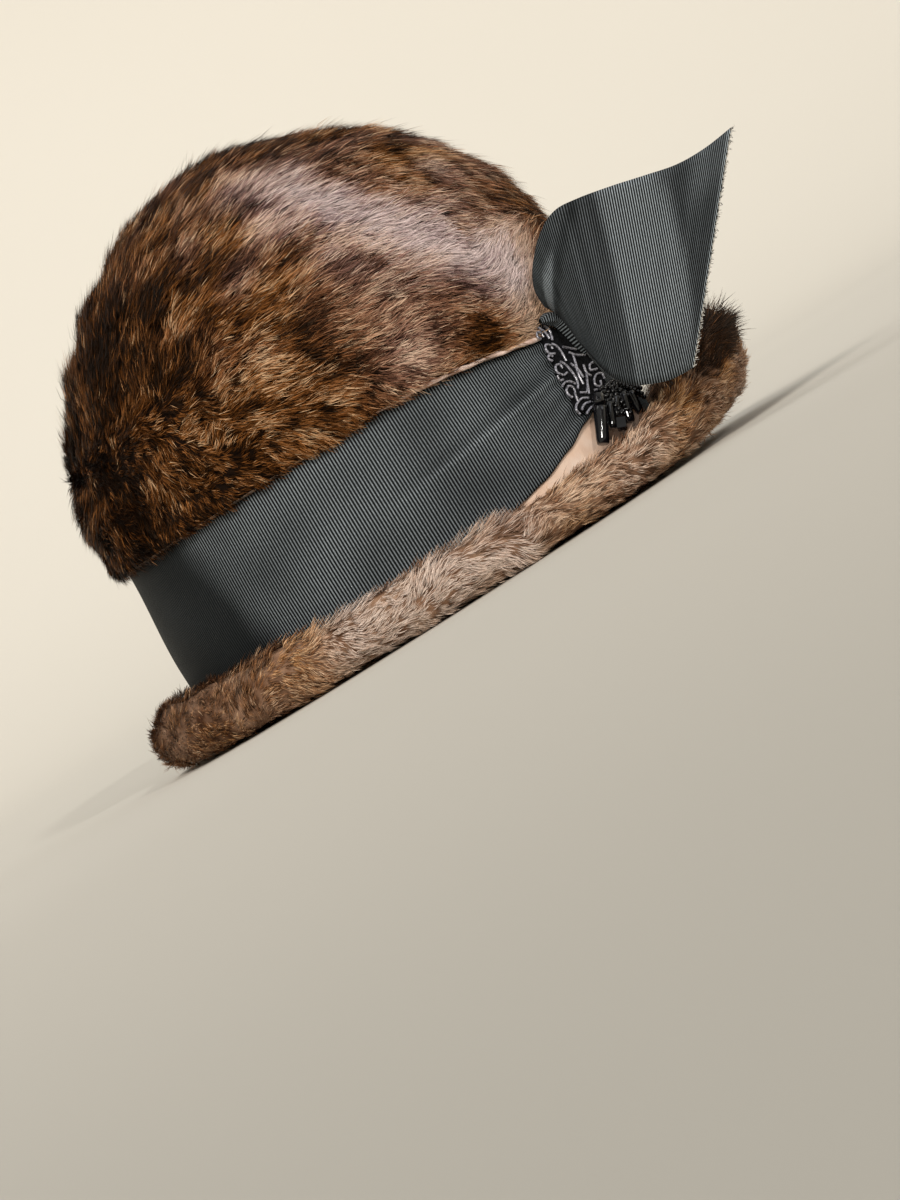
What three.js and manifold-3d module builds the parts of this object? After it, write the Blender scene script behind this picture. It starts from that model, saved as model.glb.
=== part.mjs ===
// A felt hat: a deep round crown of long-napped brown felt over a smooth tan side band, a brim rolled
// up all round and flipped high in front, and a wide black grosgrain ribbon. The ribbon is drawn
// together at the wearer's right temple under a corded ornament with jet drops, and one bias-cut tail
// of the bow stands out from there.
//
// Millimetres, +Z up, the front of the hat towards -Y and the wearer's right towards -X.
// The shapes are worked out round the middle of the head opening with three measures: forward, right
// and up. A turn is an angle in degrees from the front towards the wearer's right.
import * as THREE from 'three';
import { LoftGeometry } from 'three/addons/geometries/LoftGeometry.js';
import { mergeVertices } from 'three/addons/utils/BufferGeometryUtils.js';
import Module from 'manifold-3d';

const GAP = 0.3; // between two pieces that touch
const COLUMNS = 60; // facets all the way round the head, the same on every ring so that they line up

// The side band: an oval wall of smooth felt that widens a little towards the brim.
const BAND = {
  centre: 4, halfLength: 101, halfWidth: 82, wall: 2, bottom: 1.5, top: 86,
  flare: 3.3, flareStart: 80, flareEnd: 35, steps: 5,
};

// The crown with its nap. Each row is a level of the outside: how far it reaches back, forward and to
// each side of the middle. Its lower edge laps the side band from the rim upwards.
const CROWN = { wall: 6, centreUp: 95, top: 199, topForward: 8, rim: 78.3, lap: 6.5, slack: 0.1 };
const CROWN_LEVELS = [
  { up: 198.6, back: -2, front: 17, side: 8 },
  { up: 197.4, back: 7, front: 23, side: 14 },
  { up: 195, back: 18, front: 31, side: 21 },
  { up: 190, back: 32, front: 45, side: 33 },
  { up: 184.5, back: 42.5, front: 58, side: 43.5 },
  { up: 177, back: 53.5, front: 72.5, side: 54 },
  { up: 169, back: 64, front: 82, side: 62.5 },
  { up: 160, back: 73, front: 91, side: 70 },
  { up: 150.5, back: 81.5, front: 98, side: 76.5 },
  { up: 141, back: 88, front: 104.5, side: 82 },
  { up: 131, back: 94, front: 109, side: 86.5 },
  { up: 121, back: 99.5, front: 112.5, side: 90 },
  { up: 111, back: 102.5, front: 114.5, side: 92 },
  { up: 101, back: 104.5, front: 115, side: 93 },
  { up: 92, back: 105.3, front: 115, side: 93 },
  { up: 85, back: 105.3, front: 114, side: 92 },
  { up: 80.5, back: 104, front: 112, side: 90.5 },
];
// Shallow locks of nap, wavy ridges that lie along the crown and fade out on its lower edge.
const NAP = { height: 0.8, pitch: 19, sway: 2.2, lobes: 3, climb: 31, fadeTop: 101 };
// Folds and dents of the crown: the soft fold behind the wearer's right ear, the lobe beside it, the
// hollow above the bow and the place where the bow presses the nap. A negative depth stands proud.
const CROWN_DENTS = [
  { turn: 141, up: 90, across: 7, tall: 24, depth: 4 },
  { turn: 158, up: 92, across: 15, tall: 20, depth: -1.5 },
  { turn: 48, up: 104, across: 15, tall: 13, depth: 2 },
  { turn: 34, up: 82, across: 20, tall: 14, depth: 3 },
];
// How far the crown's lower edge is drawn down beside the ornament, by the turn away from it.
const RIM_DROPS = [
  { away: 0, drop: 1.5 }, { away: 12, drop: 4 }, { away: 24, drop: 2.2 }, { away: 40, drop: 0.6 },
  { away: 60, drop: 0 }, { away: 180, drop: 0 },
];

// The brim: a thick strip of napped felt whose section is a J. It starts on the side band, runs out
// by its reach and rolls up to its height; its lip leans back over the band by its curl. The run and
// the roll say where the handles of the J's curve lie.
const BRIM = {
  half: 4, root: 4.6, rest: 0.7, steps: 6, sag: 3, run: 0.62, bulge: 0.35, roll: 0.2,
  lock: 0.7, lockCount: 17, lockWave: 9, lockStart: 0.25,
};
const BRIM_SECTIONS = [
  { turn: 0, reach: 45, height: 44, lift: 5.5, curl: 6 },
  { turn: 15, reach: 43.5, height: 41, lift: 5, curl: 7 },
  { turn: 25, reach: 40, height: 34.5, lift: 3.5, curl: 8 },
  { turn: 35, reach: 36, height: 27.5, lift: 1.5, curl: 8 },
  { turn: 45, reach: 32, height: 24, lift: 0.4, curl: 8 },
  { turn: 65, reach: 25, height: 21.5, lift: 0, curl: 7 },
  { turn: 90, reach: 20.5, height: 20.5, lift: 0, curl: 6.5 },
  { turn: 130, reach: 22.5, height: 24, lift: 0, curl: 9 },
  { turn: 155, reach: 26, height: 27, lift: 0, curl: 12 },
  { turn: 180, reach: 27.5, height: 28, lift: 0, curl: 14 },
];

// The ribbon round the side band, with the level of its two selvedges, and the fold that runs back
// from the ornament.
const RIBBON = { thickness: 0.9, rows: 6, pleat: 1, pleatReach: 9, pleatPitch: 11 };
const RIBBON_LEVELS = [
  { away: 0, top: 68, bottom: 36 },
  { away: 6, top: 69, bottom: 33.5 },
  { away: 13, top: 70.8, bottom: 28.5 },
  { away: 23, top: 73.4, bottom: 23.5 },
  { away: 33, top: 75.6, bottom: 20 },
  { away: 45, top: 77, bottom: 16.5 },
  { away: 62, top: 77.2, bottom: 14 },
  { away: 180, top: 77.2, bottom: 13.5 },
];
const RIBBON_FOLD = { startTurn: 42, endTurn: 92, startUp: 55, endUp: 46.5, across: 3, height: 1.1 };

// The ornament's own frame: x towards the front along the band, y up, z away from the hat.
const KNOT = { turn: 37.5, up: 56, lean: 4.7 };
const ORNAMENT = { back: 2.7, thickness: 1.6, corner: 12 };
const CORD = { radius: 0.6, halfSides: 3, steps: 7, sink: 0.25 };
const ORNAMENT_OUTLINE = [
  { x: -3, y: 17 }, { x: 4, y: 18 }, { x: 8.3, y: 12.5 }, { x: 9.4, y: 4 }, { x: 10.6, y: -3 },
  { x: 11.8, y: -10 }, { x: 8.5, y: -17 }, { x: 0, y: -20.5 }, { x: -9, y: -20 }, { x: -9.5, y: -12 },
  { x: -7.5, y: -4 }, { x: -6, y: 4 }, { x: -5, y: 11 },
];
const ORNAMENT_LOBES = [
  { x: -3.6, y: 13.8, radius: 2.9 },
  { x: -5.4, y: 6.6, radius: 3.7 },
  { x: -7.8, y: -1.6, radius: 4 },
  { x: -10.2, y: -10.2, radius: 3.9 },
  { x: -12.6, y: -17.6, radius: 3.4 },
];
// Scrolls of round cord on the ornament, each a smooth line through its points.
const SCROLLS = [
  [[-5.2, 5], [-7.4, 5.9], [-8.1, 7.9], [-6.6, 9.5], [-4.6, 8.6], [-4.6, 6.9]],
  [[-3.4, 8.9], [-1.8, 7], [-1.6, 3.6], [-2.3, 0.4]],
  [[-5.9, -3.4], [-8.4, -3.5], [-10.5, -1.3], [-9, 0.9], [-6.6, 0.6], [-6.6, -1.2]],
  [[-5.4, 1.4], [-3.8, -0.9], [-3.4, -5.3], [-4.3, -8.7], [-6.4, -10.7]],
  [[-11.8, -12.3], [-12.8, -10.8], [-12.2, -8.9], [-9.9, -8], [-8.2, -9.6], [-9.6, -12.4], [-10.5, -14.8]],
  [[-14, -19.2], [-14.2, -16.8], [-11.4, -15.1], [-7.4, -14.6], [-4.4, -15.8]],
  [[-11.4, -18], [-8.4, -16.9], [-5, -17.3]],
  [[-0.9, 15.8], [0.2, 14], [-0.6, 11.4], [-1.9, 9.8]],
  [[0.8, 5.6], [6.4, 2.2]],
  [[3, 1], [1.2, -2.6], [-1, -6.2], [-2.2, -10.4]],
  [[3.2, -7.4], [0.6, -10.4], [-2.8, -14.6]],
  [[2, 2.6], [4.6, 0.4], [8.6, -1.4]],
  [[9.8, -5.2], [7.4, -5.6], [6.4, -7.4], [9.8, -8.2]],
  [[9.9, -12.9], [10.6, -10.8], [7.8, -9.9], [4.4, -11.3], [3.6, -13.4], [5.8, -14.4], [7.4, -12.7]],
  [[1.2, -14.4], [3.6, -15.4], [6.4, -17], [4.2, -17.8]],
];

// The wrap: a narrow roll of ribbon that lies over the top of the ornament and down its front edge,
// and grips the foot of the tail.
const WRAP = { sides: 10, stations: 8 };
const WRAP_ROUTE = [
  { along: 0, x: -4.6, y: 17.9, z: 7.4, radius: 0.9 },
  { along: 0.2, x: -1, y: 17.2, z: 8.2, radius: 2.3 },
  { along: 0.4, x: 2.6, y: 15, z: 8.5, radius: 2.6 },
  { along: 0.6, x: 4.2, y: 10, z: 8.3, radius: 2.2 },
  { along: 0.8, x: 5.4, y: 4, z: 7.9, radius: 1.9 },
  { along: 1, x: 6.9, y: -1.2, z: 7.3, radius: 1.1 },
];

// The bow's tail: where its two selvedges run, from the wrap to the bias-cut end.
const TAIL = { thickness: 1, rows: 5, stations: 24 };
const TAIL_STATIONS = [
  { upForward: 90.8, upRight: 58.7, upHeight: 78, lowForward: 94.6, lowRight: 56, lowHeight: 73 },
  { upForward: 91, upRight: 62, upHeight: 86, lowForward: 94.6, lowRight: 59.5, lowHeight: 66.5 },
  { upForward: 95.6, upRight: 66, upHeight: 93.9, lowForward: 94.6, lowRight: 63, lowHeight: 60 },
  { upForward: 102.7, upRight: 69, upHeight: 100.5, lowForward: 95, lowRight: 66.5, lowHeight: 53.5 },
  { upForward: 110.2, upRight: 73, upHeight: 103.3, lowForward: 95.4, lowRight: 71.5, lowHeight: 46.2 },
  { upForward: 118.6, upRight: 77, upHeight: 102, lowForward: 96.8, lowRight: 77, lowHeight: 39.5 },
  { upForward: 130.7, upRight: 87, upHeight: 98.5, lowForward: 100.4, lowRight: 82, lowHeight: 35.1 },
  { upForward: 142.1, upRight: 98, upHeight: 94.6, lowForward: 105.5, lowRight: 87, lowHeight: 31.8 },
  { upForward: 152.6, upRight: 110, upHeight: 91.2, lowForward: 110.7, lowRight: 91.3, lowHeight: 29 },
  { upForward: 163.6, upRight: 123, upHeight: 89.4, lowForward: 115.4, lowRight: 95.6, lowHeight: 27 },
  { upForward: 175, upRight: 137, upHeight: 88.9, lowForward: 119.8, lowRight: 100, lowHeight: 25.7 },
];

// Jet beads in the ornament's frame: each hangs from its first end to its second, with a radius at
// its middle and at its ends. Its full radius lies between its two shoulders.
const JET_SHOULDER = 0.36;
const JET = [
  { name: 'jet_cap', sides: 8, radius: 2.5, end: 1.4, from: [-2.6, -16.9, 7.4], to: [-6, -20.4, 8.2] },
  { name: 'jet_drop_1', sides: 8, radius: 2.6, end: 2.3, from: [-6.5, -21, 8.3], to: [-13.9, -33.2, 5.2] },
  { name: 'jet_drop_2', sides: 6, radius: 2, end: 1.5, from: [1.9, -21.2, 5.9], to: [-3.6, -30.4, 4.6] },
  { name: 'jet_drop_3', sides: 6, radius: 2, end: 1.5, from: [7.2, -20.4, 5.9], to: [2.2, -27.6, 5] },
  { name: 'jet_drop_4', sides: 6, radius: 2.1, end: 1.6, from: [11.6, -20.8, 5.9], to: [7, -32, 4.9] },
  { name: 'jet_drop_5', sides: 6, radius: 1.7, end: 1.3, from: [14.4, -22.2, 7.3], to: [13.4, -31.5, 6.3] },
  { name: 'jet_lozenge', sides: 4, radius: 2.6, end: 0.7, from: [2, -28.4, 6.8], to: [-1.2, -33.2, 6] },
];

const degrees = THREE.MathUtils.degToRad;
const hatPoint = (forward, right, up) => new THREE.Vector3(-right, -forward, up);

// Reads one column of a table smoothly between its rows.
function between(table, key, column, where) {
  const stops = table.map((row) => row[key]);
  const values = table.map((row) => row[column]);
  const curve = new THREE.CubicInterpolant(stops, values, 1);
  curve.settings = { endingStart: THREE.ZeroSlopeEnding, endingEnd: THREE.ZeroSlopeEnding };
  return curve.evaluate(where)[0];
}

// Evenly spaced values from the first to the last, both included.
const steps = (first, last, count) => (
  Array.from({ length: count + 1 }, (_, i) => THREE.MathUtils.lerp(first, last, i / count))
);

// A turn counted from 0 at the front to 180 at the back, the same on both sides.
const fromFront = (turn) => Math.abs(turn - 360 * Math.round(turn / 360));

// A point outside the side band's outer face by a distance, at a turn and a level.
function bandPoint(turn, out, up) {
  const angle = degrees(turn);
  const widening = 1 - THREE.MathUtils.smoothstep(up, BAND.flareEnd, BAND.flareStart);
  const normal = new THREE.Vector2(Math.cos(angle) / BAND.halfLength, Math.sin(angle) / BAND.halfWidth);
  normal.setLength(out + BAND.flare * widening);
  const forward = BAND.centre + BAND.halfLength * Math.cos(angle) + normal.x;
  const right = BAND.halfWidth * Math.sin(angle) + normal.y;
  return hatPoint(forward, right, up);
}

const TURNS = Array.from({ length: COLUMNS }, (_, i) => 360 * i / COLUMNS);

// A closed solid whose section changes all the way round the head.
const ringOfSections = (sectionAt) => new LoftGeometry([...TURNS, 0].map(sectionAt));

// A mesh with its finish.
function piece(name, geometry, colour, roughness, metalness = 0) {
  const material = new THREE.MeshStandardMaterial({ color: colour, roughness, metalness });
  const mesh = new THREE.Mesh(geometry, material);
  mesh.name = name;
  return mesh;
}

function sideBand() {
  const outside = steps(BAND.bottom, BAND.top, BAND.steps);
  const inside = [...outside].reverse();
  return ringOfSections((turn) => [
    ...outside.map((up) => bandPoint(turn, 0, up)),
    ...inside.map((up) => bandPoint(turn, -BAND.wall, up)),
  ]);
}

function crownLock(turn, up) {
  const sway = NAP.sway * Math.sin(NAP.lobes * degrees(turn) + up / NAP.climb);
  return NAP.height * Math.sin(2 * Math.PI * up / NAP.pitch + sway);
}

function crownDent(turn, up) {
  let depth = 0;
  for (const dent of CROWN_DENTS) {
    const along = degrees(turn - dent.turn) * BAND.halfLength / dent.across;
    const rise = (up - dent.up) / dent.tall;
    depth += dent.depth * Math.exp(-along * along - rise * rise);
  }
  return depth;
}

const rimDrop = (turn) => between(RIM_DROPS, 'away', 'drop', fromFront(turn - KNOT.turn));

// A point of the crown's outside, moved inwards by a distance towards the middle of the head.
function crownPoint(level, turn, inwards) {
  const angle = degrees(turn);
  const middle = (level.front - level.back) / 2;
  const forward = middle + (level.front + level.back) / 2 * Math.cos(angle);
  const lowered = 1 - THREE.MathUtils.smoothstep(level.up, CROWN.rim, NAP.fadeTop);
  const up = level.up - lowered * rimDrop(turn);
  const point = hatPoint(forward, level.side * Math.sin(angle), up);
  const centre = hatPoint(BAND.centre, 0, CROWN.centreUp);
  return point.addScaledVector(centre.sub(point).setLength(1), inwards);
}

// The crown's surface from its pole down the outside, round its lower edge, up the part that laps the
// side band, and along the inside to the pole again.
function crown() {
  const ring = (pointAt) => TURNS.map(pointAt);
  const lowest = CROWN_LEVELS[CROWN_LEVELS.length - 1];
  const underside = (lowest.side - BAND.halfWidth) / 2;
  const onBand = (out, up) => ring((turn) => bandPoint(turn, out, up - rimDrop(turn)));
  const pole = (up) => ring(() => hatPoint(CROWN.topForward, 0, up));
  const outside = CROWN_LEVELS.map((level) => ring((turn) => (
    crownPoint(level, turn, crownDent(turn, level.up) - crownLock(turn, level.up))
  )));
  const insideLevels = CROWN_LEVELS.filter((level, row) => row % 2 === 1 && level.up > BAND.top + CROWN.lap);
  const inside = insideLevels.map((level) => ring((turn) => crownPoint(level, turn, CROWN.wall)));
  return new LoftGeometry([
    pole(CROWN.top),
    ...outside,
    onBand(underside, CROWN.rim),
    onBand(GAP + CROWN.slack, lowest.up),
    onBand(GAP + CROWN.slack, lowest.up + CROWN.lap),
    ...inside.reverse(),
    pole(CROWN.top - CROWN.wall),
  ]);
}

// The brim's section at a turn: the outside from the band to the lip, round the lip, and back down
// the inside. What would hang below the level of rest is flattened, because the hat stands on it.
function brimSection(turn) {
  const where = fromFront(turn);
  const size = (column) => between(BRIM_SECTIONS, 'turn', column, where);
  const reach = size('reach');
  const height = size('height');
  const lift = size('lift');
  const curl = size('curl');
  const floor = BRIM.half + lift;
  const middle = new THREE.CubicBezierCurve(
    new THREE.Vector2(GAP, BRIM.root + lift),
    new THREE.Vector2(reach * BRIM.run, floor - BRIM.sag),
    new THREE.Vector2(reach + curl * BRIM.bulge, floor + BRIM.roll * (height - lift)),
    new THREE.Vector2(reach - curl, height - BRIM.half),
  );
  const edge = (t, side, swing = 0) => {
    const along = middle.getTangent(t);
    const away = new THREE.Vector2(along.y, -along.x).multiplyScalar(side);
    away.rotateAround(new THREE.Vector2(), swing);
    const wave = Math.sin(degrees(BRIM.lockCount * turn) + BRIM.lockWave * t);
    const lock = t > BRIM.lockStart ? BRIM.lock * wave : 0;
    return middle.getPoint(t).addScaledVector(away, BRIM.half + lock);
  };
  const outline = [];
  for (let i = 0; i <= BRIM.steps; i += 1) {
    outline.push(edge(i / BRIM.steps, 1));
  }
  outline.push(edge(1, 1, Math.PI / 4), edge(1, 1, Math.PI / 2), edge(1, 1, 3 * Math.PI / 4));
  for (let i = BRIM.steps; i >= 0; i -= 1) {
    outline.push(edge(i / BRIM.steps, -1));
  }
  outline[0].x = GAP;
  outline[outline.length - 1].x = GAP;
  return outline.map(({ x, y }) => bandPoint(turn, x, Math.max(y, BRIM.rest)));
}

// How far the ribbon's face stands out beyond its thickness: the pleats beside the ornament and the
// soft fold behind it.
function ribbonRelief(turn, up) {
  const away = turn - KNOT.turn;
  const near = Math.exp(-((away / RIBBON.pleatReach) ** 2));
  const pleats = RIBBON.pleat * near * (0.5 + 0.5 * Math.cos(2 * Math.PI * up / RIBBON.pleatPitch));
  const along = THREE.MathUtils.mapLinear(turn, RIBBON_FOLD.startTurn, RIBBON_FOLD.endTurn, 0, 1);
  if (along < 0 || along > 1) {
    return pleats;
  }
  const ridge = THREE.MathUtils.lerp(RIBBON_FOLD.startUp, RIBBON_FOLD.endUp, along);
  const offset = (up - ridge) / RIBBON_FOLD.across;
  return pleats + RIBBON_FOLD.height * (1 - near) * (1 - along) * Math.exp(-offset * offset);
}

function ribbonBand() {
  return ringOfSections((turn) => {
    const away = fromFront(turn - KNOT.turn);
    const top = between(RIBBON_LEVELS, 'away', 'top', away);
    const bottom = between(RIBBON_LEVELS, 'away', 'bottom', away);
    const levels = steps(bottom, top, RIBBON.rows);
    const face = levels.map((up) => bandPoint(turn, GAP + RIBBON.thickness + ribbonRelief(turn, up), up));
    const back = levels.map((up) => bandPoint(turn, GAP, up)).reverse();
    return [...face, ...back];
  });
}

// The frame in which the ornament, the wrap and the jet drops are laid out.
function knotFrame() {
  const origin = bandPoint(KNOT.turn, 0, KNOT.up);
  const level = bandPoint(KNOT.turn, 1, KNOT.up).sub(origin).normalize();
  const upwards = new THREE.Vector3(0, 0, 1);
  const forwards = new THREE.Vector3().crossVectors(upwards, level);
  const away = level.clone().applyAxisAngle(forwards, degrees(-KNOT.lean));
  const frame = new THREE.Group();
  const axes = new THREE.Matrix4().makeBasis(forwards, away.clone().cross(forwards), away);
  frame.position.copy(origin);
  frame.quaternion.setFromRotationMatrix(axes);
  return frame;
}

const wasm = await Module();
wasm.setup();

function toSolid(geometry) {
  const bare = geometry.clone();
  bare.deleteAttribute('normal');
  bare.deleteAttribute('uv');
  const merged = mergeVertices(bare, 1e-4);
  const vertProperties = new Float32Array(merged.attributes.position.array);
  const triVerts = new Uint32Array(merged.index.array);
  return new wasm.Manifold(new wasm.Mesh({ numProp: 3, vertProperties, triVerts }));
}

function toGeometry(solid) {
  const mesh = solid.getMesh();
  const geometry = new THREE.BufferGeometry();
  geometry.setAttribute('position', new THREE.BufferAttribute(mesh.vertProperties, 3));
  geometry.setIndex(new THREE.BufferAttribute(mesh.triVerts, 1));
  return geometry;
}

// The ornament: a flat pad with a scalloped edge, and the scrolls of cord sewn on it.
function ornament() {
  const outline = new THREE.Shape(ORNAMENT_OUTLINE.map(({ x, y }) => new THREE.Vector2(x, y)));
  const pad = new THREE.ExtrudeGeometry(outline, { depth: ORNAMENT.thickness, bevelEnabled: false });
  pad.translate(0, 0, ORNAMENT.back);
  let solid = toSolid(pad);
  for (const { x, y, radius } of ORNAMENT_LOBES) {
    const lobe = new THREE.CylinderGeometry(radius, radius, ORNAMENT.thickness, ORNAMENT.corner);
    lobe.rotateX(Math.PI / 2);
    lobe.translate(x, y, ORNAMENT.back + ORNAMENT.thickness / 2);
    solid = solid.add(toSolid(lobe));
  }
  const level = ORNAMENT.back + ORNAMENT.thickness + CORD.radius - CORD.sink;
  const cord = new THREE.Shape();
  cord.absarc(0, 0, CORD.radius, 0, 2 * Math.PI);
  for (const points of SCROLLS) {
    const route = new THREE.CatmullRomCurve3(points.map(([x, y]) => new THREE.Vector3(x, y, level)));
    const scroll = new THREE.ExtrudeGeometry(cord, {
      steps: CORD.steps, curveSegments: CORD.halfSides, extrudePath: route,
    });
    solid = solid.add(toSolid(scroll));
  }
  return toGeometry(solid);
}

function bowKnot() {
  const route = new THREE.CatmullRomCurve3(WRAP_ROUTE.map(({ x, y, z }) => new THREE.Vector3(x, y, z)));
  const outwards = new THREE.Vector3(0, 0, 1);
  const sections = steps(0, 1, WRAP.stations).map((along) => {
    const centre = route.getPoint(along);
    const radius = between(WRAP_ROUTE, 'along', 'radius', along);
    const arm = outwards.clone().cross(route.getTangent(along)).setLength(radius);
    return steps(0, 360 - 360 / WRAP.sides, WRAP.sides - 1).map((turn) => (
      centre.clone().add(arm.clone().applyAxisAngle(route.getTangent(along), degrees(turn)))
    ));
  });
  return new LoftGeometry(sections, { capStart: true, capEnd: true });
}

// The tail is a strip of ribbon that opens like a fan from the wrap: its stations run from selvedge
// to selvedge, and its thickness is laid half on each side.
function bowTail() {
  const corners = (side) => TAIL_STATIONS.map((row) => (
    hatPoint(row[`${side}Forward`], row[`${side}Right`], row[`${side}Height`])
  ));
  const upper = new THREE.CatmullRomCurve3(corners('up'));
  const lower = new THREE.CatmullRomCurve3(corners('low'));
  const middle = (u, v) => upper.getPoint(u).lerp(lower.getPoint(u), v);
  const step = 0.01;
  const normalAt = (u, v) => {
    const start = Math.min(u, 1 - step);
    const along = middle(start + step, v).sub(middle(start, v));
    const across = lower.getPoint(u).sub(upper.getPoint(u));
    return along.cross(across).normalize();
  };
  const rows = steps(0, 1, TAIL.rows);
  const sections = steps(0, 1, TAIL.stations).map((u) => {
    const face = (sign) => (v) => middle(u, v).addScaledVector(normalAt(u, v), sign * TAIL.thickness / 2);
    return [...rows.map(face(-1)), ...[...rows].reverse().map(face(1))];
  });
  return new LoftGeometry(sections, { capStart: true, capEnd: true });
}

// A bead: a short barrel with flat faces, turned so that it runs between its two ends.
function bead({ sides, radius, end, from, to }) {
  const start = new THREE.Vector3(...from);
  const finish = new THREE.Vector3(...to);
  const length = start.distanceTo(finish);
  const half = length / 2;
  const shoulder = length * JET_SHOULDER;
  const profile = [[0, -half], [end, -half], [radius, -shoulder], [radius, shoulder], [end, half], [0, half]];
  const barrel = new THREE.LatheGeometry(profile.map(([x, y]) => new THREE.Vector2(x, y)), sides);
  const along = start.clone().sub(finish).normalize();
  barrel.applyQuaternion(new THREE.Quaternion().setFromUnitVectors(new THREE.Vector3(0, 1, 0), along));
  const middle = start.lerp(finish, 0.5);
  return barrel.translate(middle.x, middle.y, middle.z);
}

const FUR = '#5a3a22';
const TAN = '#b98f68';
const BLACK_RIBBON = '#26282a';
const JET_BLACK = '#0c0c0e';

const hat = new THREE.Group();
hat.add(piece('crown', crown(), FUR, 0.9));
hat.add(piece('side_band', sideBand(), TAN, 0.95));
hat.add(piece('brim', ringOfSections(brimSection), FUR, 0.9));
hat.add(piece('ribbon_band', ribbonBand(), BLACK_RIBBON, 0.7));
hat.add(piece('bow_tail', bowTail(), BLACK_RIBBON, 0.7));

const knot = knotFrame();
knot.add(piece('ornament', ornament(), JET_BLACK, 0.4));
knot.add(piece('bow_knot', bowKnot(), BLACK_RIBBON, 0.7));
for (const drop of JET) {
  knot.add(piece(drop.name, bead(drop), JET_BLACK, 0.15));
}
hat.add(knot);

// The origin is under the middle of the hat, at the level of the brim's flat underside.
const box = new THREE.Box3().setFromObject(hat);
const centre = box.getCenter(new THREE.Vector3());
hat.position.set(-centre.x, -centre.y, -box.min.z);

export default hat;
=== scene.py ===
# %% [markdown]
# # A long-napped felt hat
# The hat is a deep cloche of fur felt. Its crown and brim carry a long brushed nap, the band between
# them is bare felt under a wide grosgrain ribbon, and a corded ornament with jet drops holds the bow.
# The lesson dresses the plain solids of the hat one piece at a time: the shape comes from the solids,
# and the cloth, the fur and the shine are made here.

# %% Load the hat's solids
import bpy
import bmesh
import math
import numpy as np
from mathutils import Matrix, Vector, noise


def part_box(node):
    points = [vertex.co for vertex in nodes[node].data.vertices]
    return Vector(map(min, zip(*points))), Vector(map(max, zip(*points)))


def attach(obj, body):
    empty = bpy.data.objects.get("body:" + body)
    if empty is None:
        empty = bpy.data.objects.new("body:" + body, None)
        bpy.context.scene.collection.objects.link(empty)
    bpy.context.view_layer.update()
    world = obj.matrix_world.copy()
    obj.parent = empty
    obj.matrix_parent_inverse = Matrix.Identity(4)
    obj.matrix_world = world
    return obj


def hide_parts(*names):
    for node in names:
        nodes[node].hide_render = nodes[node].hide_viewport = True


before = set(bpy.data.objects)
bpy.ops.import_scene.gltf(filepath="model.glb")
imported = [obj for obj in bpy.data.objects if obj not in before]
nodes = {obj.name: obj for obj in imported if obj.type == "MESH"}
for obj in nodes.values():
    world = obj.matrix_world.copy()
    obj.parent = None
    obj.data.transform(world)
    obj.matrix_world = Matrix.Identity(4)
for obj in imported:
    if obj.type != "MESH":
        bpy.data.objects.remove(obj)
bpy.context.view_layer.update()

# %% [markdown]
# A milliner measures a hat from the middle of the head opening: forward, towards the wearer's right,
# and up. One function turns those three measures into the scene's metres, so every number below can
# be read against a real hat. A turn is an angle from the front towards the wearer's right.

# %% Measures of a hat
MM = 0.001
BAND_LENGTH, BAND_WIDTH, BAND_FORWARD = 101, 82, 4
LOWERED = 0.7  # the solids stand this much lower than the levels below were measured
band_low, band_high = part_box("side_band")
band_middle = (band_low + band_high) / 2


def hat(forward, right, up):
    """A point from its measures in millimetres."""
    return Vector((band_middle.x - right * MM,
                   band_middle.y - (forward - BAND_FORWARD) * MM,
                   (up - LOWERED) * MM))


def hat_measures(points):
    """Forward, right and up in millimetres for rows of points in metres."""
    forward = (band_middle.y - points[:, 1]) / MM + BAND_FORWARD
    right = (band_middle.x - points[:, 0]) / MM
    return forward, right, points[:, 2] / MM + LOWERED


def smoothstep(value, low, high):
    share = np.clip((value - low) / (high - low), 0, 1)
    return share * share * (3 - 2 * share)


def on_band(turn, out, up):
    """A point outside the side band by a distance, at a turn and a level."""
    angle = math.radians(turn)
    flare = 3.3 * (1 - smoothstep(up, 35, 80))
    normal = Vector((math.cos(angle) / BAND_LENGTH, math.sin(angle) / BAND_WIDTH)).normalized()
    normal *= out + flare
    return hat(BAND_FORWARD + BAND_LENGTH * math.cos(angle) + normal.x,
               BAND_WIDTH * math.sin(angle) + normal.y, up)


def away_from(turn, middle):
    return abs((turn - middle + 180) % 360 - 180)


# %% The ribbon's two edges
KNOT_TURN = 37.5
# Turn away from the ornament, then the levels of the ribbon's upper and lower selvedge.
SELVEDGES = [
    (0, 68, 36), (6, 69, 33.5), (13, 70.8, 28.5), (23, 73.4, 23.5), (33, 75.6, 20),
    (45, 77, 16.5), (62, 77.2, 14), (180, 77.2, 13.5),
]


def selvedges(turn):
    """The levels of both edges at a turn, with soft changes between the rows of the table."""
    away = away_from(turn, KNOT_TURN)
    stops = [row[0] for row in SELVEDGES]
    row = min(int(np.searchsorted(stops, away, side="right")) - 1, len(SELVEDGES) - 2)
    straight = (away - stops[row]) / (stops[row + 1] - stops[row])
    share = 0.5 * smoothstep(straight, 0, 1) + 0.5 * straight
    return [a + (b - a) * share for a, b in zip(SELVEDGES[row][1:], SELVEDGES[row + 1][1:])]


def turn_of(points):
    """The angle in degrees from the front towards the wearer's right."""
    forward, right = hat_measures(points)[:2]
    return np.degrees(np.arctan2(right / BAND_WIDTH, (forward - BAND_FORWARD) / BAND_LENGTH))


def ribbon_top(points):
    """The level of the ribbon's upper selvedge below each point."""
    return np.interp(away_from(turn_of(points), KNOT_TURN), *np.array(SELVEDGES).T[:2])


print("the front of the band is at", [round(v, 3) for v in on_band(0, 0, 56)])

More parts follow.
